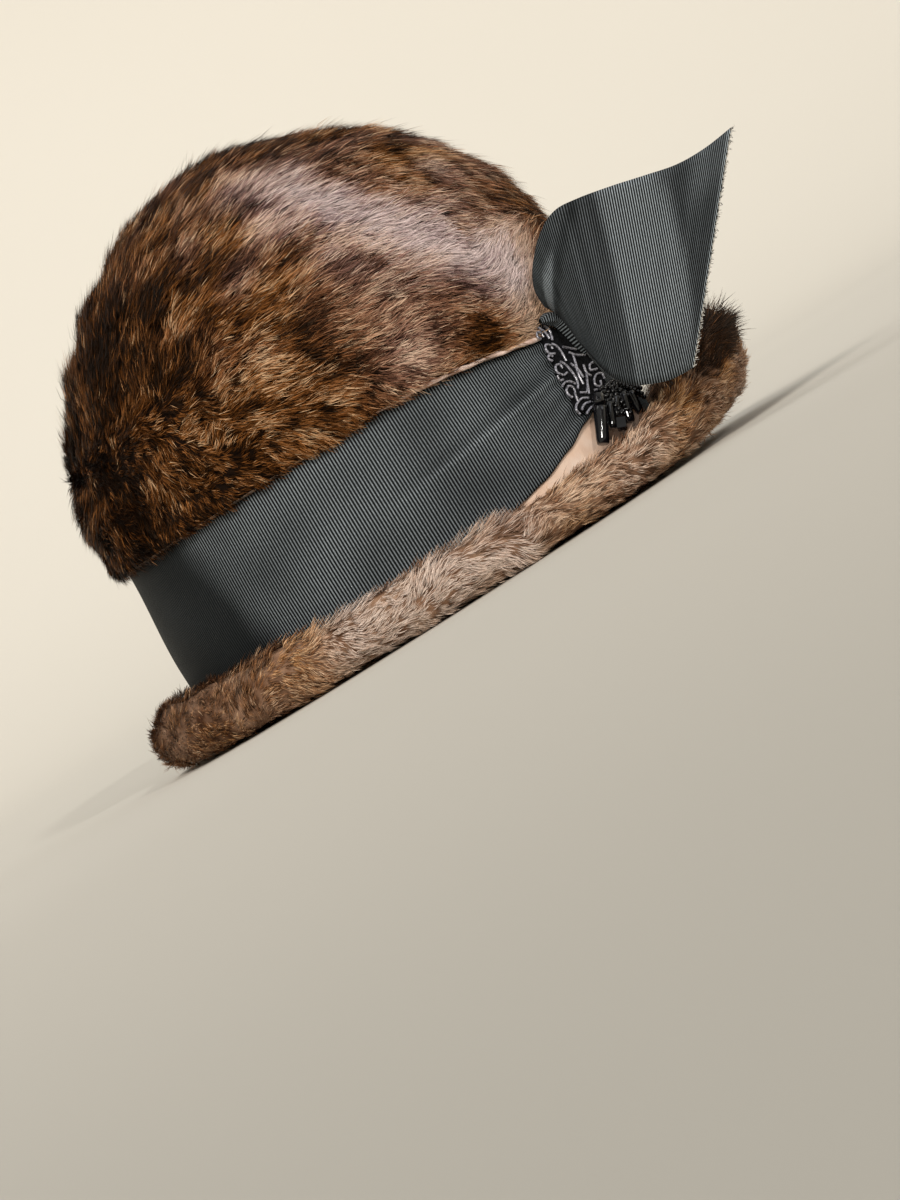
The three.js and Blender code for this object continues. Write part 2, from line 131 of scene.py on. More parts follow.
# %% [markdown]
# The camera looks at the wearer's right side from a little above the floor. The hat stands level, and
# the camera is held at a slant instead, as for a hat worn tipped back.

# %% Camera
ROLL, RISE, DISTANCE = math.radians(32.3), math.radians(2.0), 1.25
LENS, SENSOR = 95.7, 36


def put_in_scene(name, data):
    """An object of that name for a mesh, a curve, a light or a camera."""
    made = bpy.data.objects.new(name, data)
    bpy.context.scene.collection.objects.link(made)
    return made


camera_data = bpy.data.cameras.new("camera")
camera_data.lens = LENS
camera_data.sensor_width = SENSOR
camera = put_in_scene("camera", camera_data)
bpy.context.scene.camera = camera
target = hat(2.7, 0, 2.5)
backwards = Vector((-math.cos(RISE), 0, math.sin(RISE)))
level_right = Vector((0, -1, 0))
level_up = backwards.cross(level_right)
right_axis = math.cos(ROLL) * level_right - math.sin(ROLL) * level_up
up_axis = math.sin(ROLL) * level_right + math.cos(ROLL) * level_up
turned = Matrix((right_axis, up_axis, backwards)).transposed().to_4x4()
camera.matrix_world = Matrix.Translation(target + backwards * DISTANCE) @ turned
print("camera at", [round(v, 3) for v in camera.location])

# %% [markdown]
# Every colour is written as the hex value that a colour picker shows, and one function turns it into
# the linear numbers that the shaders add up. One more function adds a node to a material.

# %% Helpers for materials
def linear(hex_colour):
    """The linear red, green, blue and alpha of a colour picker's hex value."""
    channels = [int(hex_colour[i:i + 2], 16) / 255 for i in (1, 3, 5)]
    return (*(c / 12.92 if c <= 0.04045 else ((c + 0.055) / 1.055) ** 2.4 for c in channels), 1.0)


def add(tree, kind, inputs=None, stops=None, **settings):
    """Adds a node: its settings, its inputs as values or links, and a colour ramp's stops."""
    node = tree.nodes.new(kind)
    for name, value in settings.items():
        setattr(node, name, value)
    for name, value in (inputs or {}).items():
        if isinstance(value, bpy.types.NodeSocket):
            tree.links.new(value, node.inputs[name])
        else:
            node.inputs[name].default_value = value
    if stops:
        ramp = node.color_ramp
        while len(ramp.elements) < len(stops):
            ramp.elements.new(0.5)
        for element, (place, colour) in zip(ramp.elements, stops):
            element.position = place
            element.color = linear(colour) if isinstance(colour, str) else (colour, colour, colour, 1)
    return node


def new_material(name, settings):
    """A material whose node tree holds only its output and its shader, with the settings given."""
    material = bpy.data.materials.new(name)
    material.use_nodes = True
    tree = material.node_tree
    tree.nodes.clear()
    shader = add(tree, "ShaderNodeBsdfPrincipled", settings)
    add(tree, "ShaderNodeOutputMaterial", {"Surface": shader.outputs["BSDF"]})
    return material, tree, shader


def wear(tree, shader, colour=None, roughness=None, height=None, depth=None):
    """Links a colour, a roughness and a height to the shader. The depth is in metres."""
    if colour is not None:
        tree.links.new(colour, shader.inputs["Base Color"])
    if roughness is not None:
        tree.links.new(roughness, shader.inputs["Roughness"])
    if height is not None:
        bump = add(tree, "ShaderNodeBump", {"Height": height, "Distance": depth, "Strength": 1.0})
        tree.links.new(bump.outputs["Normal"], shader.inputs["Normal"])


def clouded(name, grain, stops, settings, depth=None):
    """A material coloured by soft noise with spots of the grain's size in millimetres. With a depth
    in metres, the same noise also makes the surface uneven."""
    material, tree, shader = new_material(name, settings)
    place = add(tree, "ShaderNodeTexCoord").outputs["Object"]
    cloud = add(tree, "ShaderNodeTexNoise", {"Vector": place, "Scale": 1000 / grain, "Detail": 2.0})
    tint = add(tree, "ShaderNodeValToRGB", {"Fac": cloud.outputs[0]}, stops=stops)
    wear(tree, shader, tint.outputs["Color"], None, cloud.outputs[0] if depth else None, depth)
    return material, tree, shader, cloud


# %% [markdown]
# The studio is a plain painted sweep: a floor that curves up all round into walls, open at the top.
# It is a profile spun round the upright axis, since a flat floor would end in a hard horizon. Lights
# far away, like small and large suns, shine from beside the camera and from above.

# %% The studio sweep
def link_mesh(name, bm):
    mesh = bpy.data.meshes.new(name)
    bm.to_mesh(mesh)
    bm.free()
    mesh.shade_smooth()
    return put_in_scene(name, mesh)


def lathe(profile, steps):
    """A bmesh made by spinning a profile of (radius, level) points round the upright axis."""
    bm = bmesh.new()
    line = [bm.verts.new((radius, 0, level)) for radius, level in profile]
    for low, high in zip(line, line[1:]):
        bm.edges.new((low, high))
    bmesh.ops.spin(bm, geom=bm.verts[:] + bm.edges[:], cent=(0, 0, 0), axis=(0, 0, 1),
                   angle=2 * math.pi, steps=steps, use_merge=True)
    bmesh.ops.remove_doubles(bm, verts=bm.verts[:], dist=1e-6)
    bmesh.ops.recalc_face_normals(bm, faces=bm.faces[:])
    return bm


FLOOR_RADIUS, COVE = 1.4, 1.5
profile = [(0, 0), (FLOOR_RADIUS, 0)]
for angle in np.radians(np.arange(4, 77, 4)):
    profile.append((FLOOR_RADIUS + COVE * math.sin(angle), COVE - COVE * math.cos(angle)))
sweep = link_mesh("sweep", lathe(profile, 96))

# Matt studio paint: nothing but a very faint unevenness, so the hat's shadow is all that shows.
paint = clouded("matt_studio_paint", 1250, [(0.3, "#c6c1b6"), (0.7, "#cbc6bb")], {"Roughness": 0.9})[0]
sweep.data.materials.append(paint)

# %% Lights
# Each light's name, the way towards it, how wide it looks in degrees, its power and its colour.
SUNS = [
    ("key", (-1.0, 0.16, 0.6), 12, 2.0, "#fff8f0"),
    ("top_soft", (0.1, 0.25, 1.0), 50, 0.75, "#ffffff"),
    ("front_fill", (-0.5, -1.0, 0.45), 40, 0.35, "#f2f5ff"),
    ("glint", (-1.0, -0.45, 0.46), 3, 0.85, "#fffdfa"),
]
for name, towards, softness, power, colour in SUNS:
    lamp = bpy.data.lights.new(name, "SUN")
    lamp.angle = math.radians(softness)
    lamp.energy = power
    lamp.color = linear(colour)[:3]
    light = put_in_scene(name, lamp)
    light.rotation_mode = "QUATERNION"
    light.rotation_quaternion = (-Vector(towards)).to_track_quat("-Z", "Y")
world = bpy.data.worlds.new("soft_room")
bpy.context.scene.world = world
world.use_nodes = True
sky = world.node_tree.nodes["Background"]
sky.inputs["Color"].default_value = linear("#f1efe9")
sky.inputs["Strength"].default_value = 0.45
bpy.context.scene.view_settings.view_transform = "Standard"
print(len(SUNS), "lights")

# %% [markdown]
# ## The felt under the nap
# Fur felt is about 2 mm thick, and its nap stands some 4 mm off it. The solids of the crown and the
# brim reach to the middle of the nap, so a copy of each one is drawn in to where the felt lies.

# %% Felt bodies
def closed_copy(node):
    """A bmesh copy of a solid, its loose triangles joined into one skin."""
    bm = bmesh.new()
    bm.from_mesh(nodes[node].data)
    bmesh.ops.remove_doubles(bm, verts=bm.verts[:], dist=2e-6)
    bm.normal_update()
    return bm


CROWN_NAP, BRIM_NAP = 3.2, 1.8
crown_middle = hat(BAND_FORWARD, 0, 95)
bm = closed_copy("crown")
for v in bm.verts:
    outward = v.normal.dot((v.co - crown_middle).normalized())
    if outward > 0:
        v.co -= v.normal * CROWN_NAP * MM * min(1.0, outward * 1.6)
# The felt's lower edge lies on the ribbon, so the lowest part is drawn down to it.
places = np.array([v.co[:] for v in bm.verts])
up = hat_measures(places)[2]
turn = np.round(turn_of(places))
lowest = np.array([up[away_from(turn, t) < 5].min() for t in turn])
drop = np.maximum(lowest - ribbon_top(places) - 0.8, 0) * (1 - smoothstep(up, lowest, lowest + 16))
for v, fall in zip(bm.verts, drop):
    v.co.z -= fall * MM
crown_felt = link_mesh("crown_felt", bm)


# %% The brim's felt
def rim_top(points, normals):
    """How near each place is to the top of the rolled rim, where the nap stands up instead of lying."""
    forward, right, up = hat_measures(points)
    along = (1 - smoothstep(forward, 26, 56)) * (1 - 0.7 * smoothstep(-forward, 78, 102))
    return smoothstep(normals[:, 2], 0.0, 0.6) * smoothstep(up, 7, 13) * along


bm = closed_copy("brim")
places = np.array([v.co[:] for v in bm.verts])
facing = np.array([v.normal[:] for v in bm.verts])
for v, top in zip(bm.verts, rim_top(places, facing)):
    v.co -= v.normal * BRIM_NAP * MM * (1 - top)
brim_felt = link_mesh("brim_felt", bm)
print("felt bodies:", len(crown_felt.data.polygons), "and", len(brim_felt.data.polygons), "faces")

# %% [markdown]
# ## How the nap lies
# The hatter brushes the nap of the crown from back to front. On the front face it falls, under the
# bow it is pushed up, and low at the back it hangs over the ribbon. A flow says which way the hair
# lies at any place; soft swirls are added to it, as a hand leaves them.

# %% The crown's flow
def bump_at(value, middle, width):
    return np.exp(-((value - middle) / width) ** 2)


def hat_vectors(forward, right, up):
    return np.stack([-right, -forward, up], axis=1)


def crown_flow(points, normals):
    forward, right, up = hat_measures(points)
    front = np.clip(-normals[:, 1], 0, 1) ** 3
    rear = np.clip(normals[:, 1], 0, 1)
    bow = np.where(right > 0, bump_at(forward, 94, 20) * bump_at(up, 94, 24), 0)
    hem = 1 - smoothstep(up, 82, 94)
    rise = 0.8 * smoothstep(-forward, 18, 48) * smoothstep(up, 104, 134) - 0.15
    rise -= 0.5 * smoothstep(-forward, 10, 45) * (1 - smoothstep(up, 98, 126))
    rise -= 0.15 * smoothstep(forward, 25, 70)
    rise = rise * (1 - bow) + 1.3 * bow - 1.8 * front * (1 - bow)
    rise -= 0.9 * hem * (1 - smoothstep(forward, 10, 50))
    rise -= 0.8 * rear ** 3 * (1 - smoothstep(up, 112, 150))
    return hat_vectors(np.ones(len(points)), 0.0 * right, rise)


# %% [markdown]
# The nap is far too fine to set hair by hand, and hair curves don't travel to other programs, so each
# hair is a slender kite of two triangles, thin at its root and its tip and bent at its middle. Roots
# are scattered over the felt with a seeded random generator. Hairs stand in small locks: each lock has
# one guide, its hairs start around the guide's root, and their tips are drawn together.

# %% Roots and guides
def unit(vectors):
    return vectors / np.maximum(np.linalg.norm(vectors, axis=1), 1e-12)[:, None]


def scatter(felt, keep, count, rng):
    """Points spread evenly over the felt where keep() allows, with the felt's smooth normals."""
    mesh = felt.data
    mesh.calc_loop_triangles()
    corners = np.array([triangle.vertices[:] for triangle in mesh.loop_triangles])
    place = np.array([v.co[:] for v in mesh.vertices])
    normal = np.array([v.normal[:] for v in mesh.vertices])
    a, b, c = (place[corners[:, i]] for i in range(3))
    area = np.linalg.norm(np.cross(b - a, c - a), axis=1)
    draws = count * 4
    chosen = rng.choice(len(area), draws, p=area / area.sum())
    first, second = rng.random(draws), rng.random(draws)
    first, second = np.where(first + second > 1, (1 - first, 1 - second), (first, second))
    shares = np.stack([1 - first - second, first, second], axis=1)
    roots = np.einsum("nk,nkd->nd", shares, place[corners[chosen]])
    normals = unit(np.einsum("nk,nkd->nd", shares, normal[corners[chosen]]))
    kept = keep(roots, normals)
    napped = round(kept.mean() * area.sum() / 2 * 1e4)
    print(felt.name, "nap area", napped, "cm2, roots", min(kept.sum(), count))
    return roots[kept][:count], normals[kept][:count]


def noise_at(points, grain, shift=0.0):
    """Soft noise from -1 to 1 at each point, with patches of the grain's size in millimetres."""
    scaled = points / (grain * MM) + shift
    return np.array([noise.noise(Vector(p)) for p in scaled]) * 1.6


def swirl(flow, normals, angle):
    """Lays each direction flat in the surface and turns it about the normal."""
    flow = unit(flow - np.sum(flow * normals, axis=1)[:, None] * normals)
    side = np.cross(normals, flow)
    return flow * np.cos(angle)[:, None] + side * np.sin(angle)[:, None]


# %% Blades of nap
BLADE_FACES = np.array([(0, 2, 1), (1, 2, 3)])
BLADE_MAP = np.array([(0.5, 0.06), (0.86, 0.45), (0.14, 0.45), (0.5, 0.94)])
HAIR_WIDTH, LOOSE_HAIRS = 0.24, 0.05


def comb(name, roots, normals, flow, look, length, lift, hairs, spread, pull, rng, floor):
    """Makes one mesh of hairs. Each row of roots is a guide with its flow, length and lift. The look
    holds the tone and the greyness that the material reads, spread is the radius of a lock, and pull
    is how far the tips of a lock are drawn together. No hair goes below the floor's level."""
    count = len(roots) * hairs
    which = np.repeat(np.arange(len(roots)), hairs)
    normal, along = normals[which], flow[which]
    side = np.cross(normal, along)
    reach = length[which] * rng.uniform(0.6, 1.25, count)
    radius = spread * np.sqrt(rng.random(count))
    turn = 2 * np.pi * rng.random(count)
    shift = along * (radius * np.cos(turn))[:, None] + side * (radius * np.sin(turn))[:, None]
    root = roots[which] + shift
    heading = unit(along + side * (0.16 * rng.standard_normal(count))[:, None])
    height = reach * lift[which] * rng.uniform(0.6, 1.35, count)
    height = np.where(rng.random(count) < LOOSE_HAIRS, np.minimum(height * 1.8, reach * 0.8), height)
    gather = shift * (pull * rng.uniform(0.2, 1.0, count))[:, None]
    middle = root + heading * (reach * 0.42)[:, None] + normal * (height * 0.66)[:, None] - gather * 0.3
    tip = root + heading * reach[:, None] + normal * height[:, None] - gather
    roll = np.radians(35) * rng.uniform(-1, 1, count)
    across = np.cross(normal, heading) * np.cos(roll)[:, None] + normal * np.sin(roll)[:, None]
    half = across * (0.5 * HAIR_WIDTH * MM * rng.uniform(0.7, 1.3, count))[:, None]
    blades = np.stack([root, middle + half, middle - half, tip], axis=1)
    blades[:, :, 2] = np.maximum(blades[:, :, 2], floor)
    faces = np.arange(count)[:, None, None] * 4 + BLADE_FACES
    mesh = bpy.data.meshes.new(name)
    mesh.from_pydata(blades.reshape(-1, 3).tolist(), [], faces.reshape(-1, 3).tolist())
    tint = mesh.color_attributes.new("nap", "FLOAT_COLOR", "POINT")
    shade = np.ones((count, 4, 4))
    shade[:, :, 0] = np.array([0, 0.45, 0.45, 1.0])
    shade[:, :, 1] = (look[which, 0] + 0.17 * rng.standard_normal(count))[:, None]
    shade[:, :, 2] = look[which, 1][:, None]
    tint.data.foreach_set("color", shade.ravel())
    grid = int(math.ceil(math.sqrt(count)))
    cell = np.stack([np.arange(count) % grid, np.arange(count) // grid], axis=1)
    layout = (cell[:, None, None, :] + BLADE_MAP[BLADE_FACES][None]) / grid
    mesh.uv_layers.new(name="OFBake").data.foreach_set("uv", layout.ravel())
    mesh.shade_smooth()
    lean = across * rng.uniform(-0.95, 0.95, count)[:, None]
    lean -= heading * rng.uniform(-0.1, 0.35, count)[:, None]
    mesh.normals_split_custom_set_from_vertices(np.repeat(unit(normal + lean), 4, axis=0))
    print(name, count, "hairs,", count * 2, "triangles")
    return put_in_scene(name, mesh)


def comb_all(name, pieces, locks, **hair):
    """Shares the locks out over a few meshes, so that none of them grows too heavy."""
    naps = []
    for part in range(pieces):
        rows = [values[part::pieces] for values in locks]
        naps.append(comb(f"{name}_{part + 1}", *rows, **hair))
    return naps


# %% [markdown]
# The hair is not one colour. Patches of red brown, near-black and pinkish tan lie along the flow. The
# roots are painted dark as shade between the locks, a paler greyish stripe and swath on the top are
# painted sheen, and a few places are painted darker as shade. No picture is wrapped round the hat for
# this: each lock gets its tone from where it grows.

# %% Tones of the crown's nap
def near_line(forward, up, stops, width):
    """How near each place is to a line of (forward, up) stops, from 0 to 1."""
    best = np.full(len(forward), 1e9)
    for (f0, u0), (f1, u1) in zip(stops, stops[1:]):
        run = np.array([f1 - f0, u1 - u0], float)
        share = np.clip(((forward - f0) * run[0] + (up - u0) * run[1]) / (run @ run), 0, 1)
        best = np.minimum(best, np.hypot(forward - f0 - share * run[0], up - u0 - share * run[1]))
    return np.exp(-(best / width) ** 2)


# Soft patches on the crown's right side: forward, up and their half widths in millimetres, then what
# each adds to the tone and to the greyness. They hold painted light and shade as well as the nap's own
# tones, such as the painted shadow at forward 1, up 112, just before a pale curl.
PATCHES = [
    (-44, 102, 26, 18, 0.36, 0.0),
    (-14, 112, 8, 9, 0.3, 0.0), (1, 112, 8, 8, -0.5, 0.0),
    (36, 88, 15, 13, 0.34, 0.3), (36, 118, 24, 26, 0.0, 0.18), (30, 137, 12, 6, 0.26, 0.1),
    (64, 84, 8, 10, -0.5, -0.1), (70, 103, 11, 6, -0.34, -0.1), (98, 114, 9, 13, -0.44, -0.2),
    (76, 122, 14, 9, -0.26, -0.1), (64, 149, 10, 6, 0.26, 0.15), (84, 152, 10, 10, 0.2, 0.1),
    (38, 147, 12, 6, -0.3, -0.1), (64, 136, 10, 6, -0.24, -0.05),
]


def crown_look(points, flow, rng):
    forward, right, up = hat_measures(points)
    stretched = points - flow * (np.sum(points * flow, axis=1) * 0.6)[:, None]
    patches, fine = noise_at(stretched, 12), noise_at(stretched, 4.5, 40)
    # The stripe and the swath are painted sheen: a pale, greyish tone where the fur's gloss would catch
    # the light.
    painted_sheen_stripe = near_line(forward, up, [(14, 180), (30, 165), (45, 146), (66, 120), (84, 92)], 9)
    above = near_line(forward, up, [(18, 190), (44, 170), (60, 156)], 11)
    painted_sheen_swath = near_line(forward, up, [(32, 160), (50, 138), (82, 108)], 21)
    beside_bow = np.where(right > 0, near_line(forward, up, [(90, 108), (84, 84), (80, 76)], 9), 0)
    # rear is painted shade on the back of the crown, and the groove is painted shade in a fold low at
    # the back.
    rear = smoothstep(-forward, 4, 54) * (1 - smoothstep(up, 170, 190))
    ridge = bump_at(right, 0, 40) * smoothstep(forward, -12, 14) * (1 - smoothstep(forward, 46, 68))
    painted_groove_shade = np.where(right > 0, bump_at(forward, -78, 5) * (1 - smoothstep(up, 92, 125)), 0)
    tone = 0.44 + 0.42 * patches + 0.32 * fine + 0.36 * painted_sheen_stripe + 0.32 * painted_sheen_swath + 0.74 * beside_bow
    tone -= 0.3 * rear + 0.35 * painted_groove_shade + 0.22 * ridge + 0.18 * above
    tone += 0.09 * rng.standard_normal(len(points))
    grey = 0.55 * painted_sheen_stripe + 0.45 * painted_sheen_swath + 0.2 * beside_bow
    grey += 0.25 * noise_at(points, 18, 80) * smoothstep(up, 100, 150)
    for middle, level, wide, high, lighter, greyer in PATCHES:
        patch = np.where(right > 0, bump_at(forward, middle, wide) * bump_at(up, level, high), 0)
        tone += lighter * patch
        grey += greyer * patch
    grey = (grey + 0.3 * fine * painted_sheen_swath) * (1 - 0.9 * rear) * (1 - 0.5 * ridge) * (1 - 0.5 * above)
    return np.stack([np.clip(tone, 0, 1), np.clip(grey, 0, 0.9)], axis=1)


def crown_keep(roots, normals):
    """The outside, down to just above the ribbon."""
    outward = np.sum((roots - np.array(crown_middle)) * normals, axis=1) > 0
    return outward & (hat_measures(roots)[2] > ribbon_top(roots) + 1.2)


# %% Comb the crown
rng = np.random.default_rng(12)
CROWN_LOCKS, CROWN_HAIRS, CROWN_PIECES = 36000, 8, 3
CROWN_HAIR_LENGTH, BRIM_HAIR_LENGTH = 7.4, 4.4
roots, normals = scatter(crown_felt, crown_keep, CROWN_LOCKS, rng)
forward, right, up = hat_measures(roots)
# The nap lies smooth at the front and the top, and is ruffled low at the back.
rough = smoothstep(-forward, 5, 45) * (1 - smoothstep(up, 118, 150))
turned = (0.25 + 0.35 * rough) * noise_at(roots, 24) + (0.22 + 0.7 * rough) * noise_at(roots, 8, 15)
turned += 0.12 * rng.standard_normal(len(roots))
flow = swirl(crown_flow(roots, normals), normals, turned)
look = crown_look(roots, flow, rng)
length = (CROWN_HAIR_LENGTH + 1.6 * noise_at(roots, 16, 60)) * MM
length *= (1 - 0.3 * (1 - smoothstep(up, 84, 100))) * (1 - 0.2 * rough)
lift = 0.34 + 0.1 * rough + 0.12 * noise_at(roots, 12, 90) + 0.06 * rng.standard_normal(len(roots))
crown_naps = comb_all("crown_nap", CROWN_PIECES, (roots, normals, flow, look, length, lift),
                      hairs=CROWN_HAIRS, spread=1.4 * MM, pull=0.8, rng=rng, floor=0.0)

# %% Tones and flow of the brim's nap
def tail_shadow_zone(forward, right, up):
    """How near a place is to the rim behind the bow's tail, where the tail's shadow is painted on the
    nap.
    """
    rim = 24 + 0.19 * (52 - right)
    near = smoothstep(right, 10, 22) * (1 - smoothstep(right, 56, 66)) * smoothstep(forward, 75, 88)
    return near * smoothstep(up, rim - 1.5, rim + 2)


def brim_look(points, flow, normals, rng):
    forward, right, up = hat_measures(points)
    away = points[:, :2] - np.array(band_middle)[:2]
    # The nap on the rim's inner face is painted darker, more so at the front: painted shade.
    inner_face_shade = smoothstep(-np.sum(unit(away) * normals[:, :2], axis=1), 0.05, 0.5)
    inner_face_shade *= 0.5 + 0.5 * smoothstep(forward, 70, 112)
    stretched = points - flow * (np.sum(points * flow, axis=1) * 0.75)[:, None]
    patches = noise_at(stretched, 10, 7)
    back = smoothstep(-forward, 20, 100)
    front = smoothstep(forward, 10, 55) * (1 - smoothstep(forward, 92, 120))
    front *= np.where(right > 0, 1, 0.4)
    # side is a painted pool of light on the brim's flank: it lightens and greys the nap and softens its
    # mottle.
    side = bump_at(forward, -8, 40)
    mottle = (0.36 + 0.26 * front) * patches + 0.24 * noise_at(stretched, 4, 33)
    tone = 0.54 + mottle * (1 - 0.62 * side)
    tone += 0.16 * front + 0.66 * side - 0.18 * back - 0.95 * inner_face_shade
    tone += 0.08 * rng.standard_normal(len(points))
    # Painted light: the nap is lighter where it faces down, as if lit from low in front. Painted shadow:
    # it is darker where the tail's shadow falls.
    tone += 0.25 * np.clip(-normals[:, 2], 0, 1) - 0.85 * tail_shadow_zone(forward, right, up)
    grey = (0.3 + 0.4 * noise_at(points, 22, 11) + 0.55 * side + 0.12 * front) * (1 - 0.6 * back)
    return np.stack([np.clip(tone, 0, 1), np.clip(grey, 0, 0.9)], axis=1)


def brim_keep(roots, normals):
    forward, right, up = hat_measures(roots)
    from_band = np.hypot((forward - BAND_FORWARD) / BAND_LENGTH, right / BAND_WIDTH)
    return (from_band > 1.035) & ~((normals[:, 2] < -0.93) & (up < 4))


# %% Comb the brim
BRIM_LOCKS, BRIM_HAIRS, BRIM_PIECES = 24000, 6, 2
roots, normals = scatter(brim_felt, brim_keep, BRIM_LOCKS, rng)
forward, right, up = hat_measures(roots)
around = hat_vectors(right * BAND_LENGTH / BAND_WIDTH,
                     -(forward - BAND_FORWARD) * BAND_WIDTH / BAND_LENGTH, 0 * up)
around = around * np.sign(right)[:, None]
turned = 0.9 * noise_at(roots, 18, 5) + 0.5 * noise_at(roots, 7, 25)
turned += 0.12 * rng.standard_normal(len(roots))
flow = swirl(around, normals, turned)
look = brim_look(roots, flow, normals, rng)
raised = smoothstep(up, 27, 36) * smoothstep(forward, 100, 130)
length = (BRIM_HAIR_LENGTH + 1.5 * noise_at(roots, 14, 70) + 3.0 * raised) * MM
# A hand has pushed the nap up in a tuft on the rim, left of the front.
tuft = bump_at(forward, 115, 14) * bump_at(right, -72, 14) * smoothstep(up, 16, 24)
standing, shaded = rim_top(roots, normals), tail_shadow_zone(forward, right, up)
length += (2.0 * shaded + 7.5 * tuft + 0.9 * standing) * MM
lift = 0.34 + 0.12 * noise_at(roots, 8, 31) + 0.05 * rng.standard_normal(len(roots))
lift += 0.3 * shaded + 0.55 * tuft + 0.24 * standing
brim_naps = comb_all("brim_nap", BRIM_PIECES, (roots, normals, flow, look, length, lift),
                     hairs=BRIM_HAIRS, spread=1.2 * MM, pull=0.6, rng=rng, floor=0.2 * MM)

# %% [markdown]
# Hatter's fur is dyed in the felt and stays glossy along the hair. The blades carry their own tone,
# with painted sheen and shade in it, so the material only turns the tone into browns, paints the roots
# dark as shade between the hairs and adds a soft sheen. Felt has no thread to draw: its fibres are
# matted, and clouds of colour with a fine tangled bump are enough.

# %% Fur materials
def fur_material(name, browns, greys, root_dark, roughness, gloss, sheen):
    material, tree, shader = new_material(name, {
        "Roughness": roughness, "Specular IOR Level": gloss, "Specular Tint": linear("#f0cca8"),
        "Sheen Weight": sheen, "Sheen Roughness": 0.4, "Sheen Tint": linear("#e8c8ac")})
    nap = add(tree, "ShaderNodeAttribute", attribute_name="nap")
    split = add(tree, "ShaderNodeSeparateColor", {"Color": nap.outputs["Color"]})
    brown = add(tree, "ShaderNodeValToRGB", {"Fac": split.outputs["Green"]}, stops=browns)
    grey = add(tree, "ShaderNodeValToRGB", {"Fac": split.outputs["Green"]}, stops=greys)
    mixed = add(tree, "ShaderNodeMix", {0: split.outputs["Blue"], 6: brown.outputs["Color"],
                                        7: grey.outputs["Color"]}, data_type="RGBA")
    # The roots are painted dark: painted shade between the hairs.
    shade = add(tree, "ShaderNodeValToRGB", {"Fac": split.outputs["Red"]},
                stops=[(0.0, root_dark), (0.45, 0.68), (1.0, 1.0)])
    root_shaded_colour = add(tree, "ShaderNodeMix", {0: 1.0, 6: mixed.outputs[2], 7: shade.outputs["Color"]},
               data_type="RGBA", blend_type="MULTIPLY")
    wear(tree, shader, root_shaded_colour.outputs[2])
    return material


# Long beaver nap: brushed fur with a silky gloss, near-black to red brown, pinkish grey as painted
# sheen.
crown_fur = fur_material(
    "brushed_beaver_nap",
    [(0.0, "#120904"), (0.22, "#2e1907"), (0.45, "#6e4019"), (0.7, "#b1723c"), (1.0, "#f2c89a")],
    [(0.0, "#181014"), (0.3, "#5e484c"), (0.6, "#b69ca2"), (1.0, "#fdeae8")],
    root_dark=0.1, roughness=0.42, gloss=0.12, sheen=0.0)
# The brim's nap is shorter and greyer, as on felt that is brushed and then ironed.
brim_fur = fur_material(
    "ironed_brim_nap",
    [(0.0, "#180b04"), (0.25, "#43240b"), (0.5, "#955c2b"), (0.75, "#d49c64"), (1.0, "#f6ca9a")],
    [(0.0, "#1e1510"), (0.3, "#6a4e3c"), (0.6, "#c8a28c"), (1.0, "#ffecdf")],
    root_dark=0.12, roughness=0.5, gloss=0.15, sheen=0.1)


# %% Felt materials
def felt_material(name, colours, patch, fibre_depth, sheen=0.3):
    """Felt with clouds of colour of the patch's size and fibres of a depth, both in millimetres."""
    material, tree, shader = new_material(name, {
        "Roughness": 0.95, "Specular IOR Level": 0.1 + sheen, "Sheen Weight": sheen})
    place = add(tree, "ShaderNodeTexCoord").outputs["Object"]
    cloud = add(tree, "ShaderNodeTexNoise", {"Vector": place, "Scale": 1000 / patch, "Detail": 3.0})
    tint = add(tree, "ShaderNodeValToRGB", {"Fac": cloud.outputs[0]}, stops=colours)
    fibres = add(tree, "ShaderNodeTexNoise", {"Vector": place, "Scale": 1000 / 0.9, "Detail": 4.0,
                                              "Roughness": 0.7, "Distortion": 1.5})
    wear(tree, shader, tint.outputs["Color"], height=fibres.outputs[0], depth=fibre_depth * MM)
    return material


# The felt under the crown's nap is dark brown, painted down to near black as shade, so that the gaps
# between the locks stay dark.
crown_felt_shade = felt_material(
    "dark_felt_and_painted_shade", [(0.3, "#0c0704"), (0.55, "#1c1008"), (0.75, "#2e1c0e")],
    patch=12, fibre_depth=0.3, sheen=0.0)
under_brim = felt_material(
    "dyed_brim_felt", [(0.3, "#4a3020"), (0.5, "#866650"), (0.72, "#a88a72")],
    patch=11, fibre_depth=0.3, sheen=0.0)
# Bare felt keeps the fur's natural tan, smooth and softly bright at its edges.
bare_felt = felt_material(
    "bare_tan_felt", [(0.3, "#dab49a"), (0.55, "#f0d0b8"), (0.75, "#fae2d0")],
    patch=14, fibre_depth=0.12)


def finish_with(material, *pieces):
    for piece in pieces:
        piece.data.materials.append(material)


finish_with(crown_felt_shade, crown_felt)
finish_with(under_brim, brim_felt)
finish_with(crown_fur, *crown_naps)
finish_with(brim_fur, *brim_naps)
side_band = nodes["side_band"]
side_band.data.materials.clear()
finish_with(bare_felt, side_band)
for band_slot in side_band.material_slots:
    band_slot.material = bare_felt
print("bare felt on", side_band.name)

# %% [markdown]
# ## The ribbon
# Grosgrain is woven with thick weft cords, so fine ribs cross it from selvedge to selvedge. The band
# is about 67 mm wide, wrapped once round and drawn together at the ornament. It starts as a flat grid
# that keeps its own length and width as a map, and is then laid on the side band.

# %% Cloth from a grid
CLOTH_THICKNESS = 0.5


